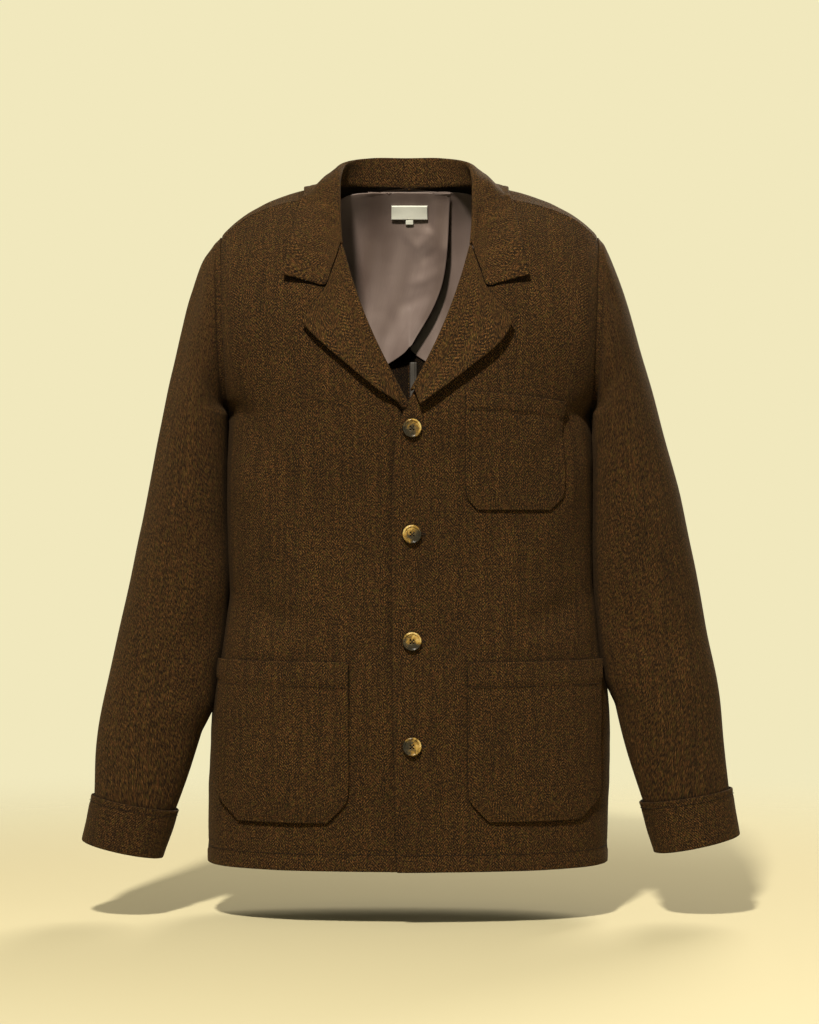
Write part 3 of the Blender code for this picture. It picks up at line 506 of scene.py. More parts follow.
def closer_at_ends(count, length, both=True):
    """Shares from 0 to 1 with extra lines near both ends, or the last, where an edge rolls."""
    near = np.array(EDGE_LINES) / length
    shares = [np.linspace(0.0, 1.0, count + 1), 1.0 - near]
    if both:
        shares.append(near)
    shares = np.unique(np.round(np.concatenate(shares), 6))
    keep = np.concatenate(([True], np.diff(shares) > LEAST_SPACING / length))
    return shares[keep]


def rolled(distance, radius):
    """How far an edge's face falls back, at a distance from the edge, for a rounded roll."""
    share = np.clip(distance / radius, 0.0, 1.0)
    return -radius * (1.0 - np.sqrt(1.0 - (1.0 - share) ** 2))


def dip(distance, depth, width):
    """A groove that stitches pull into the cloth, on both sides of distance 0."""
    return -depth * np.exp(-(distance / width) ** 2)


def drawn_shut(grid, distance, column):
    """Draw a seam's edge over, so that the two panels meet inside the seam."""
    inner = 1 if column == 0 else -2
    outwards = unit(grid[:, column] - grid[:, inner])[:, None]
    near = np.clip(1 - distance / SEAM_DRAW_WIDTH, 0.0, 1.0)[..., None]
    return grid + SEAM_DRAW * near * outwards


def bare_object(name, bm):
    mesh = bpy.data.meshes.new(name)
    bm.to_mesh(mesh)
    bm.free()
    made = bpy.data.objects.new(name, mesh)
    scene.collection.objects.link(made)
    return made


def finished(name, bm, material):
    """The smooth object of a mesh, riding the jacket's one body."""
    for face in bm.faces:
        face.smooth = True
    piece = bare_object(name, bm)
    piece.data.materials.append(material)
    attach(piece, "root")
    return piece


def declare(grid, uv):
    """Work out how large the piece was cut, from the lengths of cloth along it; the result is not
    kept.
    """
    width, length = np.ptp(uv[..., 0]), np.ptp(uv[..., 1])
    across, up = grid[1:, :-1] - grid[:-1, :-1], grid[:-1, 1:] - grid[:-1, :-1]
    area = np.linalg.norm(np.cross(across, up), axis=-1).sum()
    area = min(max(area, LEAST_AREA * width * length), width * length)


def sew(node, grid, uv, normals, wall, material, rests_on=None, ring=False,
        inside=None):
    """The cloth that stands for a node: a grid of points, with its wall on the inner side."""
    rows, columns = grid.shape[0] - 1, grid.shape[1] - 1
    bm = bmesh.new()
    bmesh.ops.create_grid(bm, x_segments=columns, y_segments=rows, size=0.5)
    bm.verts.ensure_lookup_table()
    cloth_uv = bm.loops.layers.uv.new("cloth")
    places = {}
    for vert in bm.verts:
        row = round((vert.co.y + 0.5) * rows)
        column = round((vert.co.x + 0.5) * columns)
        places[vert.index] = (row, column)
        vert.co = Vector(grid[row, column])
    for face in bm.faces:
        for loop in face.loops:
            loop[cloth_uv].uv = uv[places[loop.vert.index]]
    if ring:
        bmesh.ops.remove_doubles(bm, verts=bm.verts, dist=1e-6)
    bm.normal_update()
    row, column = rows // 2, columns // 2
    across = grid[row, column + 1] - grid[row, column]
    up = grid[row + 1, column] - grid[row, column]
    if np.cross(across, up) @ normals[row, column] < 0:
        bmesh.ops.reverse_faces(bm, faces=bm.faces)
    piece = finished("dressed_" + node, bm, material)
    shell = piece.modifiers.new("wall", "SOLIDIFY")
    shell.thickness = wall
    shell.offset = -1.0
    if inside:
        piece.data.materials.append(inside)
        shell.material_offset = 1
    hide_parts(node)
    if rests_on:
        declare(grid, uv)


# The fronts and backs, with a hem stitched up below and seams drawn shut at the sides and back.
PANEL_ROWS = 150
PANEL_COLUMNS = 54
PANEL_LENGTH = 0.9      # about the length and width of a panel, for the lines near its edges
PANEL_WIDTH = 0.24
HEM_STEP = 0.0007       # two layers of cloth below the stitches
HEM_DEPTH = 0.018       # the hem is turned up and stitched this far above the edge
STEP_WIDTH = 0.0015     # a turned edge sets in across this much cloth
HEM_GROOVE = (0.0012, 0.0018)   # how deep a row of stitches sinks in, and half its width
SIDE_GROOVE = (0.0010, 0.0035)
EDGE_ROLL = 0.0011      # radii of the edges: hem and front edge, centre back, side, and top
BACK_SEAM_ROLL = 0.0009
SIDE_ROLL = 0.0012
TOP_ROLL = 0.0010
BESIDE_SLEEVE = 0.016   # the folds fade out this close to an armhole

for side in SIDES:
    for front in (True, False):
        name = ("front_" if front else "back_") + side
        panel = (FRONTS if front else BACKS)[side]
        corner_rows = [ARMHOLE_ROW] if front else [ARMHOLE_ROW, ARMHOLE_ROW + NAPE_ROW]
        rows = closer_at_ends(PANEL_ROWS, PANEL_LENGTH) * panel.last
        rows = np.unique(np.concatenate((rows, corner_rows)))
        across, row = np.meshgrid(closer_at_ends(PANEL_COLUMNS, PANEL_WIDTH), rows)
        form = panel.point(across.ravel(), row.ravel()).reshape(across.shape + (3,))
        normals = panel.normal(across.ravel(), row.ravel()).reshape(form.shape)
        folds = relief(form.reshape(-1, 3) * panel.mirror, panel.folds).reshape(across.shape)
        to_side = np.linalg.norm(form[:, -1:] - form, axis=-1)
        above_armpit = np.clip(row - ARMHOLE_ROW + 0.5, 0.0, 1.0)
        folds *= 1.0 - above_armpit * np.exp(-(to_side / BESIDE_SLEEVE) ** 2)
        grid = form + folds[..., None] * normals
        from_edge, up_from_hem = lengths(grid, 1), lengths(grid, 0)
        from_side = from_edge[:, -1:] - from_edge
        from_top = up_from_hem[-1:] - up_from_hem
        change = rolled(up_from_hem, EDGE_ROLL) + dip(up_from_hem - HEM_DEPTH, *HEM_GROOVE)
        change += HEM_STEP * np.clip((HEM_DEPTH - up_from_hem) / STEP_WIDTH, 0.0, 1.0)
        change += rolled(from_edge, EDGE_ROLL if front else BACK_SEAM_ROLL)
        change += rolled(from_side, SIDE_ROLL) + dip(from_side, *SIDE_GROOVE)
        change += rolled(from_top, TOP_ROLL)
        grid = grid + change[..., None] * normals
        if not front:
            grid = drawn_shut(grid, from_edge, 0)
        grid = drawn_shut(grid, from_side, -1)
        uv = np.stack((grid[:, :1, 0] + SIDES[side] * from_edge, LEVELS[0].z + up_from_hem), axis=-1)
        joined = ("back_" + side, "sleeve_" + side) if front else ("front_" + side, "collar")
        sew(name, grid, uv, normals, CLOTH, BODY_TWEED, joined, inside=INSIDE_PAINTED_SHADE)


# ---- Sleeves -----------------------------------------------------------------------------------
# Straight sleeves of the same tweed, each with one seam on its inner side, cut so that the twill
# runs one way, and sewn into the armholes in a deep seam. They hang a little forward, against the
# body below the armholes, and keep soft ridges at the elbow.

SLEEVE_GAP = 0.0016     # between the head of a sleeve and the body, at the shoulder
# Rings from the head down: the outer and the inner point in own-side x and z, half the depth from
# front to back, and the y of the middle.
SleeveRing = namedtuple("SleeveRing", "outer inner half_depth centre_y")
SLEEVE_RINGS = {
    "right": (
        SleeveRing((0.2140, -0.0730), (0.1995, -0.2600), 0.0750, 0.0040),
        SleeveRing((0.2230, -0.0880), (0.2022, -0.2660), 0.0770, 0.0030),
        SleeveRing((0.2330, -0.1160), (0.2030, -0.2780), 0.0770, 0.0020),
        SleeveRing((0.2430, -0.1480), (0.2026, -0.2920), 0.0760, 0.0010),
        SleeveRing((0.2560, -0.2050), (0.2026, -0.3130), 0.0730, -0.0010),
        SleeveRing((0.2700, -0.2700), (0.2028, -0.3430), 0.0700, -0.0030),
        SleeveRing((0.2840, -0.3400), (0.2023, -0.3850), 0.0660, -0.0050),
        SleeveRing((0.2990, -0.4140), (0.2012, -0.4380), 0.0620, -0.0070),
        SleeveRing((0.3180, -0.5020), (0.2082, -0.5120), 0.0580, -0.0100),
        SleeveRing((0.3320, -0.5680), (0.2195, -0.5780), 0.0530, -0.0150),
        SleeveRing((0.3390, -0.6180), (0.2330, -0.6280), 0.0460, -0.0200),
        SleeveRing((0.3407, -0.6720), (0.2550, -0.6900), 0.0390, -0.0250),
    ),
    "left": (
        SleeveRing((0.2130, -0.0730), (0.1995, -0.2600), 0.0750, 0.0040),
        SleeveRing((0.2190, -0.0870), (0.2028, -0.2660), 0.0770, 0.0030),
        SleeveRing((0.2290, -0.1130), (0.2045, -0.2780), 0.0770, 0.0020),
        SleeveRing((0.2380, -0.1410), (0.2045, -0.2910), 0.0760, 0.0010),
        SleeveRing((0.2540, -0.1960), (0.2042, -0.3110), 0.0730, -0.0010),
        SleeveRing((0.2720, -0.2620), (0.2040, -0.3410), 0.0700, -0.0030),
        SleeveRing((0.2920, -0.3350), (0.2038, -0.3830), 0.0660, -0.0050),
        SleeveRing((0.3090, -0.4140), (0.2050, -0.4340), 0.0620, -0.0070),
        SleeveRing((0.3250, -0.5020), (0.2112, -0.5080), 0.0580, -0.0100),
        SleeveRing((0.3360, -0.5600), (0.2225, -0.5680), 0.0530, -0.0150),
        SleeveRing((0.3400, -0.6100), (0.2350, -0.6200), 0.0460, -0.0200),
        SleeveRing((0.3457, -0.6650), (0.2545, -0.6810), 0.0390, -0.0250),
    ),
}
CUFF_RINGS = {
    "right": (
        SleeveRing((0.3440, -0.6660), (0.2490, -0.6840), 0.0436, -0.0246),
        SleeveRing((0.3490, -0.6920), (0.2575, -0.7100), 0.0436, -0.0255),
        SleeveRing((0.3540, -0.7160), (0.2660, -0.7355), 0.0438, -0.0265),
    ),
    "left": (
        SleeveRing((0.3490, -0.6590), (0.2480, -0.6750), 0.0436, -0.0246),
        SleeveRing((0.3530, -0.6850), (0.2560, -0.7030), 0.0436, -0.0255),
        SleeveRing((0.3570, -0.7100), (0.2640, -0.7300), 0.0438, -0.0265),
    ),
}
# Folds of a sleeve, in turns round it from the inner seam (0.25 is the front, 0.5 the outside)
# and in steps along it; widths are in metres of cloth.
SLEEVE_FOLDS = {
    "right": (
        Fold(((0.44, 0.6), (0.43, 4.0), (0.42, 8.0)), 0.013, 0.0022),
        Fold(((0.10, 1.5), (0.22, 3.2), (0.34, 4.6)), 0.016, -0.0030),
        Fold(((0.04, 4.5), (0.18, 6.6), (0.32, 7.6)), 0.016, 0.0026),
        Fold(((0.02, 8.4), (0.16, 8.9), (0.32, 9.6)), 0.014, -0.0028),
        Fold(((0.02, 9.4), (0.14, 9.9), (0.28, 10.2)), 0.012, 0.0022),
        Fold(((0.60, 2.0), (0.72, 4.0), (0.86, 5.2)), 0.018, -0.0030),
        Fold(((0.66, 8.0), (0.78, 8.7), (0.94, 8.9)), 0.016, -0.0028),
    ),
    "left": (
        Fold(((0.37, 0.1), (0.38, 0.9), (0.39, 1.9)), 0.007, 0.0024),
        Fold(((0.32, 0.1), (0.33, 1.4), (0.35, 3.0)), 0.008, -0.0042),
        Fold(((0.10, 1.4), (0.22, 3.4), (0.30, 5.0)), 0.016, -0.0030),
        Fold(((0.06, 5.0), (0.20, 6.8), (0.36, 7.8)), 0.018, 0.0024),
        Fold(((0.03, 8.2), (0.18, 8.8), (0.34, 9.2)), 0.014, -0.0028),
        Fold(((0.03, 9.6), (0.16, 10.0), (0.30, 10.6)), 0.012, 0.0020),
        Fold(((0.62, 2.2), (0.74, 4.2), (0.88, 5.0)), 0.018, -0.0030),
        Fold(((0.64, 7.8), (0.80, 8.8), (0.95, 8.8)), 0.016, -0.0028),
    ),
}


def ring_points(side, ring, turn):
    """Points of a ring at turns round it: 0 is the inner point and a quarter turn the front."""
    angle = 2 * np.pi * turn[:, None]
    outer = np.array((ring.outer[0], ring.centre_y, ring.outer[1]))
    inner = np.array((ring.inner[0], ring.centre_y, ring.inner[1]))
    middle, reach = (outer + inner) / 2, (outer - inner) / 2
    front = np.array((0.0, -ring.half_depth, 0.0))
    return (middle - reach * np.cos(angle) + front * np.sin(angle)) * (SIDES[side], 1, 1)


def sleeve_head(side, turn):
    """Where the sleeve is sewn to the armhole."""
    angle = 2 * np.pi * np.minimum(turn, 1 - turn)
    gap = SEAM_GAP / 2 + SLEEVE_GAP * ((1 - np.cos(angle)) / 2) ** 2
    sign = np.where(turn <= 0.5, -1.0, 1.0)
    return armhole_point(angle, sign, gap) * (SIDES[side], 1, 1)


def under_body_edge(side, points):
    """Points under the body's cut edge, each beside one of the given armhole points."""
    places, tucked = [], []
    for panel in (FRONTS[side], BACKS[side]):
        rows = np.linspace(ARMHOLE_ROW, panel.last, 160)
        edge = np.ones(len(rows))
        on_edge = panel.point(edge, rows)
        towards_middle = unit(panel.point(edge - 0.02, rows) - on_edge)
        places.append(on_edge)
        tucked.append(SLEEVE_TUCK_IN * towards_middle - SLEEVE_TUCK_DOWN * panel.normal(edge, rows))
    places, tucked = np.concatenate(places), np.concatenate(tucked)
    apart = np.linalg.norm(places[None] - points[:, None], axis=-1)
    return points + tucked[np.argmin(apart, axis=1)]


def tube_normals(grid):
    """Unit normals of a grid that closes on itself, turned outwards."""
    wrapped = np.concatenate((grid[:, -2:-1], grid, grid[:, 1:2]), axis=1)
    around = wrapped[:, 2:] - wrapped[:, :-2]
    normals = unit(np.cross(around, np.gradient(grid, axis=0)))
    middle = grid.mean(axis=1, keepdims=True)
    facing = np.sum(normals * (grid - middle), axis=-1).mean()
    return normals * np.sign(facing)


def ring_uv(grid, shift):
    """Cloth coordinates of a tube, measured both ways from the line opposite its seam."""
    around = lengths(grid, 1)
    return np.stack((around - around[:, -1:] / 2 + shift, -lengths(grid, 0)), axis=-1)


SLEEVE_TUCK_DOWN = 0.0030       # the sleeve's edge runs in under the edge of the body
SLEEVE_TUCK_IN = 0.0016
SLEEVE_TUCK_LENGTH = 0.0045
SLEEVE_PRESS = 0.0078   # from just below the armhole the sleeve is pressed to the body by this
SLEEVE_MEETS = -0.248
SLEEVE_LEAVES = {"right": -0.600, "left": -0.570}       # down to here, where it swings clear
MEETS_OVER = 0.005      # the pressure comes and goes over these lengths
LEAVES_OVER = 0.030
SLEEVE_LENGTH = 0.68
SLEEVE_ROWS = 150
SLEEVE_COLUMNS = 76
HEAD_FADE = 0.030       # the folds fade in over this much cloth below the seam
CUFF_FADE = 0.040       # and out over this much, ending this far above the sleeve's end
CUFF_CLEAR = 0.020
HEAD_GROOVE = (0.0026, 0.0055)
SLEEVE_TWILL_SHIFT = 0.4        # so that the twill of no two sleeves and cuffs matches
CUFF_TWILL_SHIFT = 0.9
SLEEVE_HEAD_ROLL = 0.0012
SLEEVE_END_ROLL = 0.0009

for side in SIDES:
    turns = np.linspace(0.0, 1.0, SLEEVE_COLUMNS + 1)
    rings = SLEEVE_RINGS[side]
    control = np.stack([sleeve_head(side, turns)] + [ring_points(side, ring, turns) for ring in rings])
    steps = closer_at_ends(SLEEVE_ROWS, SLEEVE_LENGTH) * len(rings)
    grid = curve(control, steps)
    normals = tube_normals(grid)
    around, down = lengths(grid, 1), lengths(grid, 0)
    girth, step_length = around[:, -1].mean(), down[-1].mean() / len(rings)
    turn_grid, step_grid = np.meshgrid(turns, steps)
    places = np.stack((turn_grid.ravel() * girth, step_grid.ravel() * step_length), axis=-1)
    change = lumpy(grid, 0.0012, 0.06, 7)
    for number, fold in enumerate(SLEEVE_FOLDS[side]):
        line = [(turn * girth, step * step_length) for turn, step in fold.points]
        rise = fold_rise(fold, places, line, 0.05).reshape(turn_grid.shape)
        change += rise * (1.0 + lumpy(grid, 0.4, 0.05, number + 11))
    # the folds fade out at the seam round the armhole and under the cuff
    from_end = down[-1:] - down
    change *= np.clip(down / HEAD_FADE, 0.0, 1.0)
    change *= np.clip((from_end - CUFF_CLEAR) / CUFF_FADE, 0.0, 1.0)
    # the inner side keeps clear of the trunk, but is pressed to it below the armhole
    towards_trunk = np.clip(-normals[..., 0] * SIDES[side], 0.0, 1.0)
    change = np.where(change > 0, change * (1 - towards_trunk), change)
    height = grid[..., 2]
    beside = np.clip((SLEEVE_MEETS - height) / MEETS_OVER, 0.0, 1.0)
    beside *= np.clip((height - SLEEVE_LEAVES[side]) / LEAVES_OVER, 0.0, 1.0)
    change += SLEEVE_PRESS * beside * towards_trunk ** 3
    change += rolled(down, SLEEVE_HEAD_ROLL) + dip(down, *HEAD_GROOVE)
    change += rolled(from_end, SLEEVE_END_ROLL)
    grid = grid + change[..., None] * normals
    tuck = under_body_edge(side, sleeve_head(side, turns)) - grid[0]
    grid = grid + np.clip(1 - down / SLEEVE_TUCK_LENGTH, 0.0, 1.0)[..., None] * tuck
    uv = ring_uv(grid, SIDES[side] * SLEEVE_TWILL_SHIFT)
    sew("sleeve_" + side, grid, uv, normals, CLOTH, SLEEVE_TWEED, ("front_" + side, "back_" + side),
        ring=True)


# ---- Cuffs -------------------------------------------------------------------------------------
# A plain band of doubled tweed round the end of each sleeve, with no button. It is folded at the
# wrist and topstitched near its upper edge, so both edges are full and round.

FOLDED = 0.0026         # two layers pressed together
CUFF_COLUMNS = 76
CUFF_ROWS = 16
CUFF_LENGTH = 0.05
CUFF_STITCH = 0.0060    # below the upper edge
CUFF_GROOVE = (0.0008, 0.0014)
CUFF_UPPER_ROLL = 0.0013
CUFF_FOLD_ROLL = 0.0015

for side in SIDES:
    turns = np.linspace(0.0, 1.0, CUFF_COLUMNS + 1)
    rings = CUFF_RINGS[side]
    control = np.stack([ring_points(side, ring, turns) for ring in rings])
    grid = curve(control, closer_at_ends(CUFF_ROWS, CUFF_LENGTH) * (len(rings) - 1))
    normals = tube_normals(grid)
    down = lengths(grid, 0)
    change = lumpy(grid, 0.0006, 0.022, 5)
    change += rolled(down, CUFF_UPPER_ROLL) + rolled(down[-1:] - down, CUFF_FOLD_ROLL)
    change += dip(down - CUFF_STITCH, *CUFF_GROOVE)
    grid = grid + change[..., None] * normals
    uv = ring_uv(grid, SIDES[side] * CUFF_TWILL_SHIFT)
    sew("cuff_" + side, grid, uv, normals, FOLDED, CUFF_TWEED, ("sleeve_" + side,), ring=True)


# ---- Collar and lapels -------------------------------------------------------------------------
# A tailored notch collar: the stand rises from the neck seam, rolls over a soft ridge and falls
# on to the shoulders. The lapels are the fronts' turned-back facings, rolled from the gorge to
# the first button. All three are doubled cloth with full, rounded edges.

ROLL_RADIUS = 0.0033    # of the fold at the top of the stand
# The ridge that the collar and lapels roll over, from the nape to the first button.
RIDGE = (
    (0.0000, 0.0700, 0.0320), (0.0400, 0.0600, 0.0310), (0.0610, 0.0400, 0.0270),
    (0.0680, 0.0140, 0.0170), (0.0710, -0.0140, 0.0030), (0.0710, -0.0340, -0.0180),
    (0.0705, -0.0520, -0.0430), (0.0665, -0.0760, -0.0800), (0.0595, -0.0940, -0.1100),
    (0.0500, -0.1070, -0.1400), (0.0360, -0.1180, -0.1720), (0.0227, -0.1240, -0.2000),
    (0.0051, -0.1300, -0.2380), (-0.0025, -0.1335, -0.2550),
)
GORGE_STEP = 7          # of the ridge, where the collar ends and the lapel begins
# Sections of the collar from the nape round to the notch: the panel and row that the stand is
# sewn to, the step on the ridge, the fall's middle and edge, and whether it rests on the front.
CollarStation = namedtuple("CollarStation", "front row ridge_step middle edge rests")
COLLAR = (
    CollarStation(False, 6.0, 0.0, (0.000, 0.083, 0.010), (0.000, 0.083, -0.018), False),
    CollarStation(False, 7.0, 1.0, (0.055, 0.071, 0.011), (0.063, 0.077, -0.017), False),
    CollarStation(False, 8.0, 2.6, (0.085, 0.036, 0.010), (0.105, 0.041, -0.014), False),
    CollarStation(True, 6.0, 4.0, (0.091, -0.012, -0.002), (0.112, -0.010, -0.020), False),
    CollarStation(True, 5.3, 5.1, (0.094, -0.036, -0.026), (0.118, -0.040, -0.046), False),
    CollarStation(True, 4.6, 6.2, (0.090, -0.066, -0.072), (0.123, -0.068, -0.080), True),
    CollarStation(True, 4.1, 7.0, (0.085, -0.100, -0.123), (0.129, -0.092, -0.116), True),
)
# Sections of the lapels from the gorge down: the step on the ridge, and the edge's x and z.
LapelStation = namedtuple("LapelStation", "ridge_step edge")
GORGE_END = (0.0850, -0.1230)
LAPELS = {
    "right": (
        LapelStation(7.0, (0.1097, -0.1640)),
        LapelStation(8.1, (0.0985, -0.1760)),
        LapelStation(9.3, (0.0850, -0.1880)),
        LapelStation(10.3, (0.0560, -0.2125)),
        LapelStation(11.2, (0.0310, -0.2325)),
        LapelStation(11.9, (0.0160, -0.2420)),
        LapelStation(12.7, (0.0010, -0.2520)),
    ),
    "left": (
        LapelStation(7.0, (0.1120, -0.1630)),
        LapelStation(8.1, (0.1050, -0.1755)),
        LapelStation(9.3, (0.0940, -0.1880)),
        LapelStation(10.3, (0.0640, -0.2130)),
        LapelStation(11.2, (0.0380, -0.2340)),
        LapelStation(11.9, (0.0140, -0.2510)),
    ),
}
GORGE_GAP = 0.0022      # between the collar and a lapel
FALL_SHARES = (1 / 3, 2 / 3, 1.0)       # points of a section between the roll and the middle
FALL_LIFT = 0.0062      # how far the cloth stands off the body under the roll,
EDGE_LIFT = 0.0042      # under a lapel's edge
COLLAR_LIFT = 0.0038    # and under the collar's
COLLAR_CURL = 0.0060    # below the shoulders the thick edges spring up a little
LAPEL_CURL = {"right": 0.0065, "left": 0.0095}
CURL_WIDTH = 0.020
CURL_FROM = -0.040      # the curl grows from this height down, over as much again
STAND_PAST = 0.0020     # the stand starts this far past the panel's edge
STAND_BELOW = 0.0030    # and this far below it, seen from the ridge
TURN_COLUMNS = 18       # lines round the roll and across the fall
FALL_COLUMNS = 26
FALL_LENGTH = 0.06
COLLAR_ROWS = 120
LAPEL_ROWS = 56
HALF_COLLAR = 0.2
ROLL_EASES = 1.5        # the fall settles to its lift over so many points of a section
TURNED_EDGE_ROLL = 0.0014
TURNED_END_ROLL = 0.0012
EDGE_STITCH = 0.0065    # in from the free edge
EDGE_GROOVE = (0.0004, 0.0016)
# The roll of a facing: how far each point lies past the front's edge and off its outside.
LAPEL_TURN = ((0.0036, -0.0005), (0.0038, 0.0025), (0.0026, 0.0050), (0.0003, 0.0062))


def outer_surface(side):
    """The outside of a front and a back, folds and all, for pieces that lie clear of it."""
    points, facets = [], []
    columns, rows = 30, 110
    for panel in (FRONTS[side], BACKS[side]):
        first = len(points)
        across, row = np.meshgrid(np.linspace(0, 1, columns), np.linspace(0, panel.last, rows))
        points += [Vector(point) for point in panel.dressed(across.ravel(), row.ravel())]
        for line in range(rows - 1):
            for place in range(columns - 1):
                corner = first + line * columns + place
                facets.append((corner, corner + 1, corner + columns + 1, corner + columns))
    return BVHTree.FromPolygons(points, facets)


SURFACES = {side: outer_surface(side) for side in SIDES}


def lifted(point, lift):
    """A point, moved out if need be until it stands `lift` off the body panels."""
    side = "left" if point[0] > NECK_X else "right"
    nearest, normal, _, _ = SURFACES[side].find_nearest(Vector(point))
    nearest, normal = np.array(nearest), np.array(normal)
    if normal @ (nearest - GARMENT_MIDDLE) < 0:
        normal = -normal
    return point + max(lift - (point - nearest) @ normal, 0.0) * normal


def neck_point(side, own):
    """A point given on its own side of the neck opening, whose middle is off the centre."""
    return np.array((SIDES[side] * own[0] + NECK_X, own[1], own[2]))


def ridge_frame(side, step):
    """The ridge's point at a step and the direction that it runs in there."""
    near = np.clip((step, step + 0.05, step - 0.05), 0.0, len(RIDGE) - 1)
    here, ahead, behind = [neck_point(side, point) for point in curve(RIDGE, near)]
    if step < 0.05:
        behind = ahead * (-1.0, 1.0, 1.0) + np.array((2 * NECK_X, 0.0, 0.0))
    return here, unit(ahead - behind)


def over_ridge(seam, ridge, run, fall_end):
    """A section's points from the seam to the top of the fall, round the roll at the ridge."""
    to_seam, to_fall = seam - ridge, fall_end - ridge
    leg_seam = to_seam - to_seam @ run * run
    leg_fall = to_fall - to_fall @ run * run
    down = unit(unit(leg_seam) + unit(leg_fall))
    across = unit(np.cross(run, down))
    if across @ (leg_fall - leg_seam) < 0:
        across = -across
    shoulder = ridge + down * ROLL_RADIUS
    return [seam, shoulder - across * ROLL_RADIUS, ridge, shoulder + across * ROLL_RADIUS]


def run_out(start, end, front=None, start_lift=0.0, end_lift=0.0):
    """Points from a start to an end, laid on a front if one is given."""
    shares = np.array(FALL_SHARES)
    points = start + (end - start) * shares[:, None]
    if front:
        lifts = start_lift + (end_lift - start_lift) * shares
        points = front.laid(points[:, 0], points[:, 2], lifts)
    return list(points)


def edge_point(panel, row):
    """A panel's inner edge at a row, the direction off it along the cloth, and its normal."""
    at = np.array([row], dtype=float)
    on_edge, just_in = np.zeros(1), np.array([0.002])
    edge, inside = panel.point(on_edge, at)[0], panel.point(just_in, at)[0]
    return edge, unit(edge - inside), panel.normal(on_edge, at)[0]


def turned_edge(side, ridge):
    """The roll of a facing over the front's edge, from behind it to its outside."""
    front = FRONTS[side]
    row = front.find(ridge[:1], ridge[2:])[1][0]
    edge, off, out = edge_point(front, row)
    return [edge + past * off + lift * out for past, lift in LAPEL_TURN]


def collar_section(side, station):
    """Points across one half of the collar, from its seam over the ridge to its edge."""
    ridge, run = ridge_frame(side, station.ridge_step)
    panel = FRONTS[side] if station.front else BACKS[side]
    middle, edge = neck_point(side, station.middle), neck_point(side, station.edge)
    if station.ridge_step == GORGE_STEP:
        top = turned_edge(side, ridge)
    else:
        sewn, off, _ = edge_point(panel, ARMHOLE_ROW + station.row)
        seam = sewn + STAND_PAST * off - STAND_BELOW * unit(ridge - sewn)
        top = over_ridge(seam, ridge, run, middle)
    if not station.rests:
        return top + run_out(top[-1], middle) + run_out(middle, edge)
    upper = run_out(top[-1], middle, panel, FALL_LIFT, EDGE_LIFT)
    return top + upper + run_out(middle, edge, panel, EDGE_LIFT, EDGE_LIFT)


def lapel_section(side, station):
    """Points across a lapel, from behind the front's edge over the roll to its own edge."""
    front = FRONTS[side]
    ridge, _ = ridge_frame(side, station.ridge_step)
    top = turned_edge(side, ridge)
    edge = neck_point(side, (station.edge[0], top[-1][1], station.edge[1]))
    middle = (top[-1] + edge) / 2
    if station.ridge_step == GORGE_STEP:
        middle = neck_point(side, (GORGE_END[0], top[-1][1], GORGE_END[1]))
    upper = run_out(top[-1], middle, front, FALL_LIFT, EDGE_LIFT)
    return top + upper + run_out(middle, edge, front, EDGE_LIFT, EDGE_LIFT)


def part_at_gorge(side, section, sign):
    """Move a section off the gorge: sign 1 towards the lapel, -1 towards the collar."""
    _, run = ridge_frame(side, GORGE_STEP)
    turn, fall = section[:len(LAPEL_TURN)], section[len(LAPEL_TURN):]
    gorge = unit(fall[2] - turn[-1])
    down = run - run @ gorge * gorge
    turn += sign * run * GORGE_GAP / 2
    fall += sign * unit(down) * GORGE_GAP / 3


def turned_piece(sections, rows, lift, curl):
    """A collar or lapel: a smooth sheet through its sections, rounded at its free edges."""
    sections = np.array(sections)
    lines = sections.shape[1] - 1
    turn_lines = len(LAPEL_TURN) - 1
    across = np.unique(np.concatenate((
        np.linspace(0, turn_lines, TURN_COLUMNS + 1),
        turn_lines + (lines - turn_lines) * closer_at_ends(FALL_COLUMNS, FALL_LENGTH, both=False))))
    steps = closer_at_ends(rows, HALF_COLLAR) * (len(sections) - 1)
    grid = curve(np.swapaxes(curve(sections, steps), 0, 1), across)
    for number, line in enumerate(across):
        if line > turn_lines:
            ease = min((line - turn_lines) / ROLL_EASES, 1.0)
            floor = 0.6 * FALL_LIFT * (1 - ease) + lift * ease
            grid[number] = [lifted(point, floor) for point in grid[number]]
    normals = unit(np.cross(np.gradient(grid, axis=1), np.gradient(grid, axis=0)))
    near_edge = (-4, len(steps) // 4)
    if normals[near_edge] @ (grid[near_edge] - GARMENT_MIDDLE) < 0:
        normals = -normals
    along, down = lengths(grid, 1), lengths(grid, 0)
    from_edge, from_last = down[-1:] - down, along[:, -1:] - along
    change = lumpy(grid, 0.0007, 0.03, 21)
    change *= np.clip((across - turn_lines) / 2, 0.0, 1.0)[:, None]
    springs = curl * np.clip((grid[..., 2] - CURL_FROM) / CURL_FROM, 0.0, 1.0)
    change += springs * np.exp(-(from_edge / CURL_WIDTH) ** 2) * np.clip(down / 0.03, 0.0, 1.0)
    change += rolled(from_edge, TURNED_EDGE_ROLL) + rolled(from_last, TURNED_END_ROLL)
    change += rolled(along, TURNED_END_ROLL)
    change += dip(from_edge - EDGE_STITCH, *EDGE_GROOVE)
    grid = grid + change[..., None] * normals
    uv = np.stack((along - along[:, -1:] / 2, -down), axis=-1)
    return grid, uv, normals


halves = {}
for side in SIDES:
    halves[side] = np.array([collar_section(side, station) for station in COLLAR])
    part_at_gorge(side, halves[side][-1], -1.0)
sections = np.concatenate((halves["right"][:0:-1], halves["left"]))
grid, uv, normals = turned_piece(sections, COLLAR_ROWS, COLLAR_LIFT, COLLAR_CURL)
sew("collar", grid, uv, normals, FOLDED, COLLAR_PAINTED_LIGHT_TWEED,
    ("back_left", "back_right", "front_left", "front_right"))

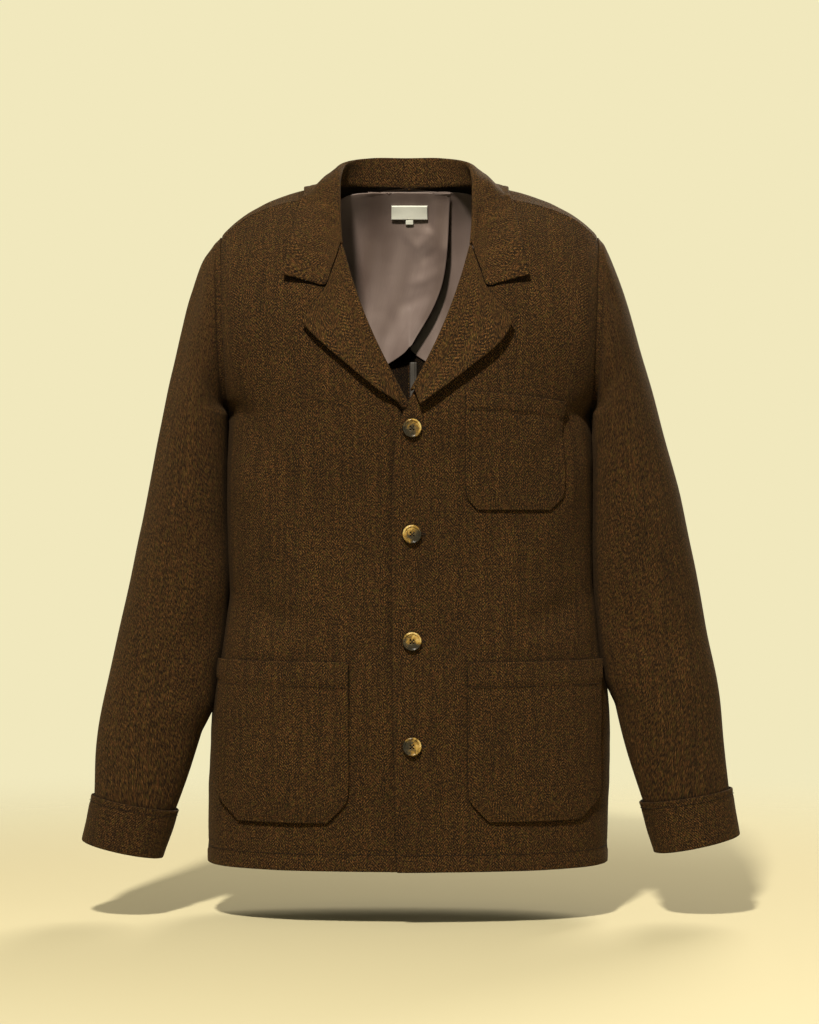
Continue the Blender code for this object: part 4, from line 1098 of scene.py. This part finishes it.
for side in SIDES:
    sections = np.array([lapel_section(side, station) for station in LAPELS[side]])
    part_at_gorge(side, sections[0], 1.0)
    grid, uv, normals = turned_piece(sections, LAPEL_ROWS, EDGE_LIFT, LAPEL_CURL[side])
    # the twill of a lapel runs along its ridge
    uv = np.stack((-SIDES[side] * uv[..., 1], -uv[..., 0]), axis=-1)
    sew("lapel_" + side, grid, uv, normals, FOLDED, COLLAR_PAINTED_LIGHT_TWEED, ("front_" + side,))


# ---- Patch pockets -----------------------------------------------------------------------------
# Three patches with clipped lower corners, one on the chest and two below the waist. The mouth is
# hemmed and stitched across, the other three edges are turned in and sewn to the front.

LAID_GAP = 0.0009       # under a patch
# Each patch by its edges in own-side x and z, its clipped corners, its fullness and its hem.
Pocket = namedtuple("Pocket", "side inner outer top bottom clip_inner clip_outer swell hem")
POCKETS = {
    "pocket_right": Pocket("right", 0.0635, 0.2030, -0.5200, -0.6900, 0.023, 0.022, 0.0030, 0.026),
    "pocket_left": Pocket("left", 0.0610, 0.2030, -0.5200, -0.6885, 0.022, 0.022, 0.0030, 0.026),
    "chest_pocket": Pocket("left", 0.0587, 0.1630, -0.2360, -0.3600, 0.012, 0.015, 0.0004, 0.019),
}
POCKET_HEM_STEP = 0.0016        # the mouth's hem is two layers thick
POCKET_SOFT = 0.0045    # radius of a clipped corner, where the thick turnings round it off
POCKET_ROWS = 44
POCKET_COLUMNS = 40
POCKET_EDGE_ROLL = 0.0013
POCKET_MOUTH_ROLL = 0.0012
POCKET_SEAM = 0.0035    # the patch is stitched down this far in from its edge
POCKET_SEAM_GROOVE = (0.0004, 0.0012)
POCKET_HEM_GROOVE = (0.0013, 0.0016)
POCKET_TWILL_SHIFT = (0.037, 0.011)     # the patch's twill does not match the front's


def clipped(above, clip):
    """How far a side edge stands in at a height above the pocket's bottom."""
    soft = (clip - above + np.sqrt((clip - above) ** 2 + POCKET_SOFT ** 2)) / 2
    return np.where(above < clip + 3 * POCKET_SOFT, soft, 0.0)


for name, pocket in POCKETS.items():
    front, sign = FRONTS[pocket.side], SIDES[pocket.side]
    height = pocket.top - pocket.bottom
    shares = closer_at_ends(POCKET_COLUMNS, pocket.outer - pocket.inner)
    ups = closer_at_ends(POCKET_ROWS, height)
    share_grid, up_grid = np.meshgrid(shares, ups)
    above = height * ups
    z = pocket.bottom + above
    start, row = front.find(sign * (pocket.inner + clipped(above, pocket.clip_inner)), z)
    end, _ = front.find(sign * (pocket.outer - clipped(above, pocket.clip_outer)), z)
    across = start[:, None] + (end - start)[:, None] * share_grid
    rows = np.repeat(row[:, None], len(shares), axis=1)
    # the patch is fullest in its lower half, and the mouth stays a little open
    bulge = np.sin(np.pi * share_grid) * np.sin(np.pi * np.minimum(0.15 + 0.75 * up_grid, 1.0))
    out = CLOTH + LAID_GAP + pocket.swell * (0.3 + 0.7 * bulge)
    grid = front.dressed(across.ravel(), rows.ravel(), out.ravel()).reshape(across.shape + (3,))
    normals = front.normal(across.ravel(), rows.ravel()).reshape(grid.shape)
    right_way, up = lengths(grid, 1), lengths(grid, 0)
    from_side = np.minimum(right_way, right_way[:, -1:] - right_way)
    from_mouth = up[-1:] - up
    change = rolled(from_side, POCKET_EDGE_ROLL) + rolled(up, POCKET_EDGE_ROLL)
    change += rolled(from_mouth, POCKET_MOUTH_ROLL)
    change += dip(from_side - POCKET_SEAM, *POCKET_SEAM_GROOVE)
    change += dip(up - POCKET_SEAM, *POCKET_SEAM_GROOVE)
    change += POCKET_HEM_STEP * np.clip((pocket.hem - from_mouth) / STEP_WIDTH, 0.0, 1.0)
    change += dip(from_mouth - pocket.hem, *POCKET_HEM_GROOVE)
    change += lumpy(grid, 0.0004, 0.02, 31)
    grid = grid + change[..., None] * normals
    shift_across, shift_up = POCKET_TWILL_SHIFT
    uv = np.stack((sign * right_way + shift_across, pocket.bottom + up + shift_up), axis=-1)
    sew(name, grid, uv, normals, CLOTH, BODY_TWEED, ("front_" + pocket.side,))


# ---- Lining, binding and label -----------------------------------------------------------------
# A butterfly half-lining of taupe satin: two lobes that hang from the neck and shoulders, the
# wearer's right one on top, with a narrow turned edge. Below them the centre-back seam is bound
# in the same satin, its binding painted near black as painted shade, and a woven label with
# nothing on it is sewn at the nape.

SATIN = 0.0010
LINING_GAP = 0.0014     # between the tweed and the lining under it
SATIN_GAP = 0.0020      # and between the two lobes, or the top one and the label
TOP_LOBE_RISE = 0.0007  # the top lobe reaches this much higher at the neck
FREE_EDGE_LIFT = 0.0140         # its free edge hangs off the lobe below, over this width,
FREE_EDGE_WIDTH = 0.026
FREE_EDGE_FROM = -0.010         # more and more from this height down, within this length
FREE_EDGE_GROWS = 0.05
LOBE_LINES = (80, 70)   # across and up
LOBE_LENGTH = 0.2
LOBE_ROLL = 0.0007
LOBE_STITCH = 0.004
LOBE_GROOVE = (0.0003, 0.001)
# The outline of a lobe in own-side x and z. It starts past the centre, so that the lobes overlap.
LINING_TOP = ((-0.047, -0.0040), (0.000, -0.0040), (0.046, -0.0040), (0.076, -0.010),
              (0.110, -0.036), (0.150, -0.058), (0.182, -0.090))
LINING_FREE_EDGE = ((-0.047, -0.0040), (-0.041, -0.080), (-0.029, -0.125), (-0.0024, -0.175))
LINING_HEM = ((-0.0024, -0.175), (0.0175, -0.192), (0.100, -0.235), (0.178, -0.250))
LINING_OUTER = ((0.182, -0.090), (0.186, -0.140), (0.184, -0.190), (0.178, -0.250))
# Strips on the inside of the backs: x from and to, z of the top and the bottom.
LABEL = ((-0.0205, 0.0205), (-0.0155, -0.0312))
SIZE_TAB = ((-0.0041, 0.0041), (-0.0316, -0.0368))
BINDING = ((0.0005, 0.0085), (-0.1930, -0.7330))
# Wrinkles of the top lobe, as x and z: drags from the label and soft diagonals below it.
SATIN_FOLDS = (
    Fold(((0.030, -0.036), (0.018, -0.052), (0.004, -0.066)), 0.0045, 0.00208),
    Fold(((0.036, -0.052), (0.024, -0.070), (0.010, -0.080)), 0.0050, -0.00182),
    Fold(((-0.006, -0.044), (0.006, -0.060), (0.012, -0.082)), 0.0050, 0.00156),
    Fold(((0.034, -0.084), (0.016, -0.098), (-0.004, -0.106)), 0.0060, 0.00182),
    Fold(((0.026, -0.110), (0.008, -0.122), (-0.014, -0.132)), 0.0065, -0.00156),
    Fold(((-0.050, -0.050), (-0.046, -0.090), (-0.038, -0.140)), 0.0090, 0.00208),
    Fold(((-0.020, -0.090), (-0.016, -0.130), (-0.010, -0.165)), 0.0070, 0.00156),
)

# Warp-faced satin: the weft hardly shows, so it is one taupe with a silky broad gloss that
# runs across the warp, partly the shader's own gloss and partly broad streaks of lighter taupe
# painted into the colour as painted sheen, and a barely visible grain of fine threads.
satin, tree, shader = new_material("lining_satin", Roughness=0.42, Sheen_Weight=0.10,
                                   Anisotropic=0.45, Specular_IOR_Level=0.5)
shader.inputs["Sheen Tint"].default_value = linear("#b8a898")
satin_mm = cloth_mm(tree)
threads = streaky(tree, satin_mm, (1.6, 0.05))
# painted sheen: broad streaks of lighter taupe in the base colour
painted_sheen = spread(tree, streaky(tree, satin_mm, (0.030, 0.006), detail=1.0), 0.35, 0.65, 0.0, 1.0)
taupe = blend(tree, painted_sheen, linear("#63544e"), linear("#7f706a"))
dye(tree, shader, scaled(tree, taupe, spread(tree, threads, 0.3, 0.7, 0.94, 1.06)))
emboss(tree, shader, threads, 0.12, 0.0002)


def inside_back(x, z, depth):
    """Points that far in from the outside of the backs, and their inward normals."""
    points, normals = np.zeros((len(x), 3)), np.zeros((len(x), 3))
    for side, chosen in (("left", x > 0), ("right", x <= 0)):
        if chosen.any():
            across, row = BACKS[side].find(x[chosen], z[chosen])
            normals[chosen] = -BACKS[side].normal(across, row)
            points[chosen] = BACKS[side].dressed(across, row, -depth)
    return points, normals


def lobe_places(u, v):
    """Own-side x, z over a lobe: u from its free edge to the armhole, v from hem to neck."""
    def edge(line, share):
        return curve(line, share * (len(line) - 1))

    first, last = LINING_HEM[0], LINING_HEM[-1]
    top_first, top_last = LINING_TOP[0], LINING_TOP[-1]
    u, v = u[:, None], v[:, None]
    corners = ((1 - u) * (1 - v) * np.array(first) + u * (1 - v) * np.array(last)
               + (1 - u) * v * np.array(top_first) + u * v * np.array(top_last))
    return ((1 - v) * edge(LINING_HEM, u[:, 0]) + v * edge(LINING_TOP, u[:, 0])
            + (1 - u) * edge(LINING_FREE_EDGE, 1 - v[:, 0]) + u * edge(LINING_OUTER, 1 - v[:, 0])
            - corners)


under = CLOTH + LINING_GAP + SATIN
over = under + SATIN_GAP + SATIN
for side, depth in (("left", under), ("right", over)):
    columns, rows = LOBE_LINES
    u, v = np.meshgrid(closer_at_ends(columns, LOBE_LENGTH), closer_at_ends(rows, LOBE_LENGTH))
    places = lobe_places(u.ravel(), v.ravel())
    if side == "right":
        places[:, 1] += TOP_LOBE_RISE * v.ravel() ** 6
    places[:, 0] *= SIDES[side]
    x, z = places.T
    points, normals = inside_back(x, z, depth)
    lift = 0.0006 * (1 + uneven(points, 0.035, 41))
    if side == "right":
        for fold in SATIN_FOLDS:
            lift += fold_rise(fold, places, fold.points, 0.04, power=1.0)
        free_edge = lobe_places(np.zeros(u.size), v.ravel()) * (SIDES[side], 1.0)
        from_free_edge = np.linalg.norm(places - free_edge, axis=1)
        hangs = np.clip((FREE_EDGE_FROM - z) / FREE_EDGE_GROWS, 0.0, 1.0)
        lift += FREE_EDGE_LIFT * hangs * np.exp(-(from_free_edge / FREE_EDGE_WIDTH) ** 2)
        # flat under the label, and again as lively 6 mm beside it and 9 mm above and below
        off_label_x = np.clip((np.abs(x) - 0.021) / 0.006, 0.0, 1.0)
        off_label_z = np.clip((np.abs(z + 0.026) - 0.009) / 0.009, 0.0, 1.0)
        lift *= np.maximum(off_label_x, off_label_z)
    grid = points.reshape(u.shape + (3,))
    normals = normals.reshape(grid.shape)
    along, up = lengths(grid, 1), lengths(grid, 0)
    change = lift.reshape(u.shape) + rolled(along, LOBE_ROLL) + rolled(up, LOBE_ROLL)
    change += dip(along - LOBE_STITCH, *LOBE_GROOVE)
    grid = grid + change[..., None] * normals
    uv = np.stack((SIDES[side] * along, up), axis=-1)
    sew("lining_" + side, grid, uv, normals, SATIN, satin, ("back_left", "back_right"))

# the binding is painted near black, far darker than the lining satin, as painted shade inside the
# jacket
binding_painted_shade, tree, shader = new_material("binding_painted_shade", Roughness=0.5, Sheen_Weight=0.1)
slubs = streaky(tree, socket(tree, "UVMap", uv_map="cloth"), (300.0, 40.0))
dye(tree, shader, blend(tree, slubs, linear("#120e0b"), linear("#3a332a")))

# Damask-woven label: closely beaten cotton with a fine rib across it, pale green-white.
label_weave, tree, shader = new_material("woven_label", Roughness=0.75, Sheen_Weight=0.08)
ribs = add_node(tree, "TexWave", {"Vector": cloth_mm(tree), "Scale": 0.55, "Distortion": 0.6},
                wave_type="BANDS", bands_direction="Y").outputs["Fac"]
dye(tree, shader, blend(tree, ribs, linear("#eef2df"), linear("#fdfef6")))
emboss(tree, shader, ribs, 0.3, 0.0002)


STRIP_ROLL = 0.0007
STRIP_STITCH = 0.0020
STRIP_GROOVE = (0.0002, 0.0005)


def strip(node, box, depth, columns, rows, material, crown):
    """A narrow strip laid on the inside of the backs, a little fuller along its middle."""
    (x_from, x_to), (z_top, z_bottom) = box
    width, height = x_to - x_from, z_top - z_bottom
    u, v = np.meshgrid(closer_at_ends(columns, width), closer_at_ends(rows, height))
    x, z = x_from + width * u.ravel(), z_bottom + height * v.ravel()
    grid, normals = [values.reshape(u.shape + (3,)) for values in inside_back(x, z, depth)]
    along, up = lengths(grid, 1), lengths(grid, 0)
    from_edge = np.minimum(along, along[:, -1:] - along)
    from_end = np.minimum(up, up[-1:] - up)
    change = crown * np.sin(np.pi * u) + rolled(from_edge, STRIP_ROLL) + rolled(from_end, STRIP_ROLL)
    change += dip(from_edge - STRIP_STITCH, *STRIP_GROOVE)
    grid = grid + change[..., None] * normals
    sew(node, grid, np.stack((along, up), axis=-1), normals, SATIN, material)


label_depth = over + SATIN_GAP + SATIN
strip("neck_label", LABEL, label_depth, 24, 12, label_weave, 0.0003)
strip("size_tab", SIZE_TAB, label_depth, 8, 6, label_weave, 0.0002)
strip("back_seam_binding", BINDING, under, 6, 160, binding_painted_shade, 0.0004)


# ---- Buttons and buttonholes -------------------------------------------------------------------
# Four sew-through buttons turned from horn, amber on one side and smoky on the other, with a
# raised rim. Each is sewn down with a cross of dark brown thread over its buttonhole.

BUTTON_DIAMETER = 0.0200
BUTTON_THICKNESS = 0.0038
BUTTON_HOLE = 0.0018
BUTTON_HOLE_SPACING = 0.0034
BUTTON_X = 0.0025
BUTTON_SHANK = 0.0012   # how far the button stands off the cloth
BUTTON_HEIGHTS = (-0.274, -0.385, -0.498, -0.608)
HORN_TURNS = (0.6, 2.4, 1.3, 0.2)       # each button was sewn on turned another way, in radians
BUTTON_STEPS = 72
BUTTON_PROFILE = ((0.0, 0.20), (0.36, 0.22), (0.58, 0.30), (0.66, 0.40), (0.72, 0.26),
                  (0.76, 0.34), (0.80, 0.82), (0.86, 1.00), (0.92, 0.92), (0.98, 0.50),
                  (1.00, 0.05), (0.97, -0.40), (0.88, -0.80), (0.70, -1.0), (0.0, -1.0))
SHANK_RADII = (0.0022, 0.0019)          # at the cloth and at the button
SHANK_LENGTH = 0.0020
SHANK_LEVEL = -0.0042
CROSS_WIDTH = 0.00060   # of each thread of the cross, two side by side in each arm
CROSS_PITCH = 0.00044
CROSS_LEVEL = 0.0006    # above the middle of the button's thickness
BUTTONHOLE = 0.0230
BUTTONHOLE_SHIFT = 0.0030               # its far end shows past the button
BUTTONHOLE_WIDTH = 0.0022
BUTTONHOLE_THREAD = 0.0009
BUTTONHOLE_POINTS = 46
BUTTONHOLE_SQUARE = 0.6                 # 1 would make it an ellipse, less squares its ends

# Polished horn: translucent keratin in cloudy layers, with a clear waxed gloss.
HORN_COLOURS = ((0.10, "#0e0a05"), (0.34, "#231b0f"), (0.47, "#453a24"), (0.56, "#69501f"),
                (0.70, "#a48440"), (0.90, "#cdb472"))
HORN_LAYERS = 34.0      # of the scale above to a metre, from smoke to amber
horn, tree, shader = new_material("polished_horn", Roughness=0.26, Coat_Weight=0.1,
                                  Coat_Roughness=0.15, Subsurface_Weight=0.08,
                                  Subsurface_Scale=0.002, IOR=1.54, Specular_IOR_Level=0.3)
horn_place = socket(tree, "UVMap", uv_map="horn")
cloud = socket(tree, "TexNoise", {"Vector": horn_place, "Scale": 150.0, "Detail": 3.0,
                                  "Distortion": 0.8})
drift = maths(tree, "MULTIPLY_ADD", socket(tree, "SeparateXYZ", {0: horn_place}), HORN_LAYERS, cloud)
dye(tree, shader, ramp(tree, drift, HORN_COLOURS))


def thread_material(name, roughness, plies, dark, light):
    """Twisted thread in two tones, with so many plies to a metre."""
    made, tree, shader = new_material(name, Roughness=roughness, Specular_IOR_Level=0.2)
    place = add_node(tree, "TexCoord").outputs["Object"]
    twist = socket(tree, "TexNoise", {"Vector": place, "Scale": plies})
    dye(tree, shader, blend(tree, twist, linear(dark), linear(light)))
    return made


# Silk twist: tight thread in ridges 0.4 mm apart, darker than the wool.
TWIST = thread_material("silk_twist", 0.7, 2500.0, "#0b0603", "#1d1209")
# Mercerised cotton: a dull brown, slightly lighter than the wool that it lies in.
COTTON = thread_material("cotton_thread", 0.8, 1800.0, "#0f0804", "#24170b")


def thread_bar(bm, start, end, width, place):
    """A rounded bar of thread from one hole to another, arched a little."""
    start, end = Vector(start), Vector(end)
    run = end - start
    turn = run.to_track_quat("X", "Z").to_matrix().to_4x4()
    middle = Matrix.Translation((start + end) / 2)
    stretch = Matrix.Diagonal((run.length / 2 + width * 0.3, width / 2, width * 0.45, 1.0))
    bmesh.ops.create_uvsphere(bm, u_segments=12, v_segments=8, radius=1.0,
                              matrix=place @ middle @ turn @ stretch)


def horn_button(place, turn):
    """Turn the profile, drill it and keep its flat coordinates for the horn's layers."""
    radius, half = BUTTON_DIAMETER / 2, BUTTON_THICKNESS / 2
    bm = bmesh.new()
    verts = [bm.verts.new((x * radius, 0.0, z * half)) for x, z in BUTTON_PROFILE]
    edges = [bm.edges.new(pair) for pair in zip(verts, verts[1:])]
    bmesh.ops.spin(bm, geom=verts + edges, cent=(0, 0, 0), axis=(0, 0, 1), angle=2 * math.pi,
                   steps=BUTTON_STEPS, use_merge=True, use_duplicate=False)
    bmesh.ops.remove_doubles(bm, verts=bm.verts, dist=1e-6)
    bmesh.ops.recalc_face_normals(bm, faces=bm.faces)
    for face in bm.faces:
        face.smooth = True
    blank = bare_object("blank", bm)
    bm = bmesh.new()
    spacing = BUTTON_HOLE_SPACING / 2
    for x in (-spacing, spacing):
        for y in (-spacing, spacing):
            bmesh.ops.create_cone(bm, cap_ends=True, segments=20, radius1=BUTTON_HOLE / 2,
                                  radius2=BUTTON_HOLE / 2, depth=4 * BUTTON_THICKNESS,
                                  matrix=Matrix.Translation((x, y, 0.0)))
    drills = bare_object("drills", bm)
    drill = blank.modifiers.new("holes", "BOOLEAN")
    drill.operation = "DIFFERENCE"
    drill.object = drills
    drilled = blank.evaluated_get(bpy.context.evaluated_depsgraph_get())
    bm = bmesh.new()
    bm.from_mesh(bpy.data.meshes.new_from_object(drilled))
    bpy.data.objects.remove(blank)
    bpy.data.objects.remove(drills)
    # each button shows another part of the horn's layers
    horn_uv = bm.loops.layers.uv.new("horn")
    for face in bm.faces:
        for loop in face.loops:
            x, y = loop.vert.co.x, loop.vert.co.y
            loop[horn_uv].uv = (x * math.cos(turn) + y * math.sin(turn) + 0.0006,
                                y * math.cos(turn) - x * math.sin(turn) + turn)
    bmesh.ops.transform(bm, matrix=place, verts=bm.verts)
    return bm


for number, (height, turn) in enumerate(zip(BUTTON_HEIGHTS, HORN_TURNS), start=1):
    front = FRONTS["left"]
    across, row = front.find(np.array([BUTTON_X]), np.array([height]))
    out = Vector(front.normal(across, row)[0])
    middle = Vector(front.point(across, row)[0]) + out * (BUTTON_THICKNESS / 2 + BUTTON_SHANK)
    seat = Matrix.Translation(middle) @ out.to_track_quat("Z", "Y").to_matrix().to_4x4()
    piece = finished("horn_button_%d" % number, horn_button(seat, turn), horn)
    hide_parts("button_%d" % number)
    # the cross of thread on top, and the shank that holds the button off the cloth
    bm = bmesh.new()
    hole = BUTTON_HOLE_SPACING / 2
    for sign in (-1, 1):
        for shift in (-CROSS_PITCH / 2, CROSS_PITCH / 2):
            thread_bar(bm, (-hole, -sign * hole + shift, CROSS_LEVEL),
                       (hole, sign * hole + shift, CROSS_LEVEL), CROSS_WIDTH, seat)
    lower, upper = SHANK_RADII
    bmesh.ops.create_cone(bm, cap_ends=True, segments=20, radius1=lower, radius2=upper,
                          depth=SHANK_LENGTH,
                          matrix=seat @ Matrix.Translation((0.0, 0.0, SHANK_LEVEL)))
    finished("button_thread_%d" % number, bm, TWIST)
    # the buttonhole: a slit with a worked edge, half under the button
    bm = bmesh.new()
    angles = 2 * np.pi * np.arange(BUTTONHOLE_POINTS) / BUTTONHOLE_POINTS
    long, short = np.cos(angles), np.sin(angles)
    squared = np.sign(long) * np.abs(long) ** BUTTONHOLE_SQUARE
    x = BUTTON_X + BUTTONHOLE_SHIFT + BUTTONHOLE / 2 * squared
    ring = front.laid(x, height + BUTTONHOLE_WIDTH / 2 * short, 0.0001)
    for start, end in zip(ring, np.roll(ring, -1, axis=0)):
        thread_bar(bm, start, end, BUTTONHOLE_THREAD, Matrix.Identity(4))
    finished("buttonhole_%d" % number, bm, TWIST)


# ---- Topstitching ------------------------------------------------------------------------------
# Rows of brown cotton lockstitch, eight to the inch, drawn into the wool: round the hem, across
# the pocket mouths, and round the top of each cuff.

STITCH = 0.0030         # from one stitch to the next
STITCH_WIDTH = 0.0007
STITCH_SHOWS = (0.12, 0.80)     # shares of its length between which a stitch shows
HEM_STITCH_POINTS = 90
HEM_STITCH_SINK = -0.0005
CUFF_STITCH_POINTS = 80
CUFF_FIRST_LENGTH = 0.025       # of cloth between a cuff's first two rings


def stitch_along(bm, points):
    """Lockstitches on a line of points: short rounded bars with gaps where the thread dives."""
    points = np.asarray(points)
    run = np.concatenate(([0.0], np.cumsum(np.linalg.norm(np.diff(points, axis=0), axis=1))))
    count = int(run[-1] / STITCH)
    for number in range(count):
        ends = (number + np.array(STITCH_SHOWS)) * STITCH
        start, end = [[np.interp(at, run, points[:, axis]) for axis in range(3)] for at in ends]
        thread_bar(bm, start, end, STITCH_WIDTH, Matrix.Identity(4))


for side in SIDES:
    hem = bmesh.new()
    for panel in (FRONTS[side], BACKS[side]):
        across = np.linspace(0.012, 0.985, HEM_STITCH_POINTS)
        hem_line = panel.point(across, np.zeros(HEM_STITCH_POINTS))
        row = panel.find(hem_line[:, 0], hem_line[:, 2] + HEM_DEPTH)[1]
        level = np.full(HEM_STITCH_POINTS, row.mean())
        stitch_along(hem, panel.dressed(across, level, HEM_STITCH_SINK))
    finished("hem_stitches_" + side, hem, COTTON)
    cuff = bmesh.new()
    turns = np.linspace(0.0, 1.0, CUFF_STITCH_POINTS)
    control = np.stack([ring_points(side, ring, turns) for ring in CUFF_RINGS[side]])
    stitch_along(cuff, curve(control, np.array([CUFF_STITCH / CUFF_FIRST_LENGTH]))[0])
    finished("cuff_stitches_" + side, cuff, COTTON)
for name, pocket in POCKETS.items():
    sign = SIDES[pocket.side]
    x_from, x_to = sign * (pocket.inner + 0.003), sign * (pocket.outer - 0.004)
    level = pocket.top - pocket.hem
    count = int(abs(x_to - x_from) / 0.004)
    out = CLOTH + LAID_GAP + pocket.swell * 0.75 - 0.0003
    mouth = bmesh.new()
    line = FRONTS[pocket.side].laid(np.linspace(x_from, x_to, count), np.full(count, level), out)
    stitch_along(mouth, line)
    finished(name + "_stitches", mouth, COTTON)


# ---- Floor, light and camera -------------------------------------------------------------------
# A pale floor that fades into a pale surround, one broad soft lamp from the upper left and a weak
# fill from the right, and a long lens level with the middle of the jacket.

FLOOR_HEIGHT = -0.800
FLOOR_RADIUS = 1.9
FLOOR_FADES = (0.45, 1.8)       # from its own colour to nothing, between these radii
PALE = "#f1e8bd"
SURROUND_LIGHT = 0.11
LENS = 100.0            # mm, on a 36 mm wide sensor
SENSOR_WIDTH = 36.0
CAMERA_PLACE = (0.0, -3.1, -0.362)

floor_mesh = bmesh.new()
bmesh.ops.create_circle(floor_mesh, cap_ends=True, segments=64, radius=FLOOR_RADIUS,
                        matrix=Matrix.Translation((0.0, 0.0, FLOOR_HEIGHT)))
floor = bare_object("floor", floor_mesh)
floor_paint, tree, shader = new_material("floor_paint", Roughness=0.9)
shader.inputs["Base Color"].default_value = linear("#cfc7a2")
place = add_node(tree, "TexCoord").outputs["Object"]
from_middle = add_node(tree, "VectorMath", {0: place, 1: (0.0, 0.0, FLOOR_HEIGHT)},
                       operation="DISTANCE").outputs["Value"]
near, far = FLOOR_FADES
fade = socket(tree, "MapRange", {0: from_middle, 1: near, 2: far, 3: 1.0, 4: 0.0},
              interpolation_type="SMOOTHSTEP")
clear = socket(tree, "BsdfTransparent")
faded = socket(tree, "MixShader", {0: fade, 1: clear, 2: shader.outputs[0]})
tree.links.new(faded, tree.nodes["Material Output"].inputs["Surface"])
floor.data.materials.append(floor_paint)

world = bpy.data.worlds.new("surround")
scene.world = world
world.use_nodes = True
tree = world.node_tree
tree.nodes.clear()
path = add_node(tree, "LightPath").outputs
seen = maths(tree, "MAXIMUM", path["Is Camera Ray"], path["Is Glossy Ray"])
seen_through = maths(tree, "MAXIMUM", seen, path["Is Transmission Ray"])
lit = socket(tree, "Background", {"Color": linear("#fff4dc"), "Strength": SURROUND_LIGHT})
shown = socket(tree, "Background", {"Color": linear(PALE), "Strength": 1.0})
both = socket(tree, "MixShader", {0: seen_through, 1: lit, 2: shown})
add_node(tree, "OutputWorld", {"Surface": both})


def lamp(name, place, target, size, watts, colour):
    light = bpy.data.lights.new(name, "AREA")
    light.shape = "DISK"
    light.size = size
    light.energy = watts
    light.color = linear(colour)[:3]
    made = bpy.data.objects.new(name, light)
    scene.collection.objects.link(made)
    made.location = place
    made.rotation_mode = "QUATERNION"
    made.rotation_quaternion = (Vector(target) - Vector(place)).to_track_quat("-Z", "Y")


lamp("key", (-0.44, -2.42, 2.00), (0.0, 0.0, -0.35), 0.26, 165.0, "#fff6e6")
lamp("fill", (2.2, -2.0, 0.2), (0.0, 0.0, -0.40), 1.6, 8.0, "#fff2dc")
lamp("back", (1.1, 2.9, 1.5), (0.0, 0.0, -0.35), 1.8, 95.0, "#fff4e2")

camera = bpy.data.cameras.new("camera")
camera.lens = LENS
camera.sensor_width = SENSOR_WIDTH
camera_object = bpy.data.objects.new("camera", camera)
scene.collection.objects.link(camera_object)
camera_object.location = CAMERA_PLACE
camera_object.rotation_euler = (math.pi / 2, 0.0, 0.0)
scene.camera = camera_object
scene.view_settings.view_transform = "Standard"
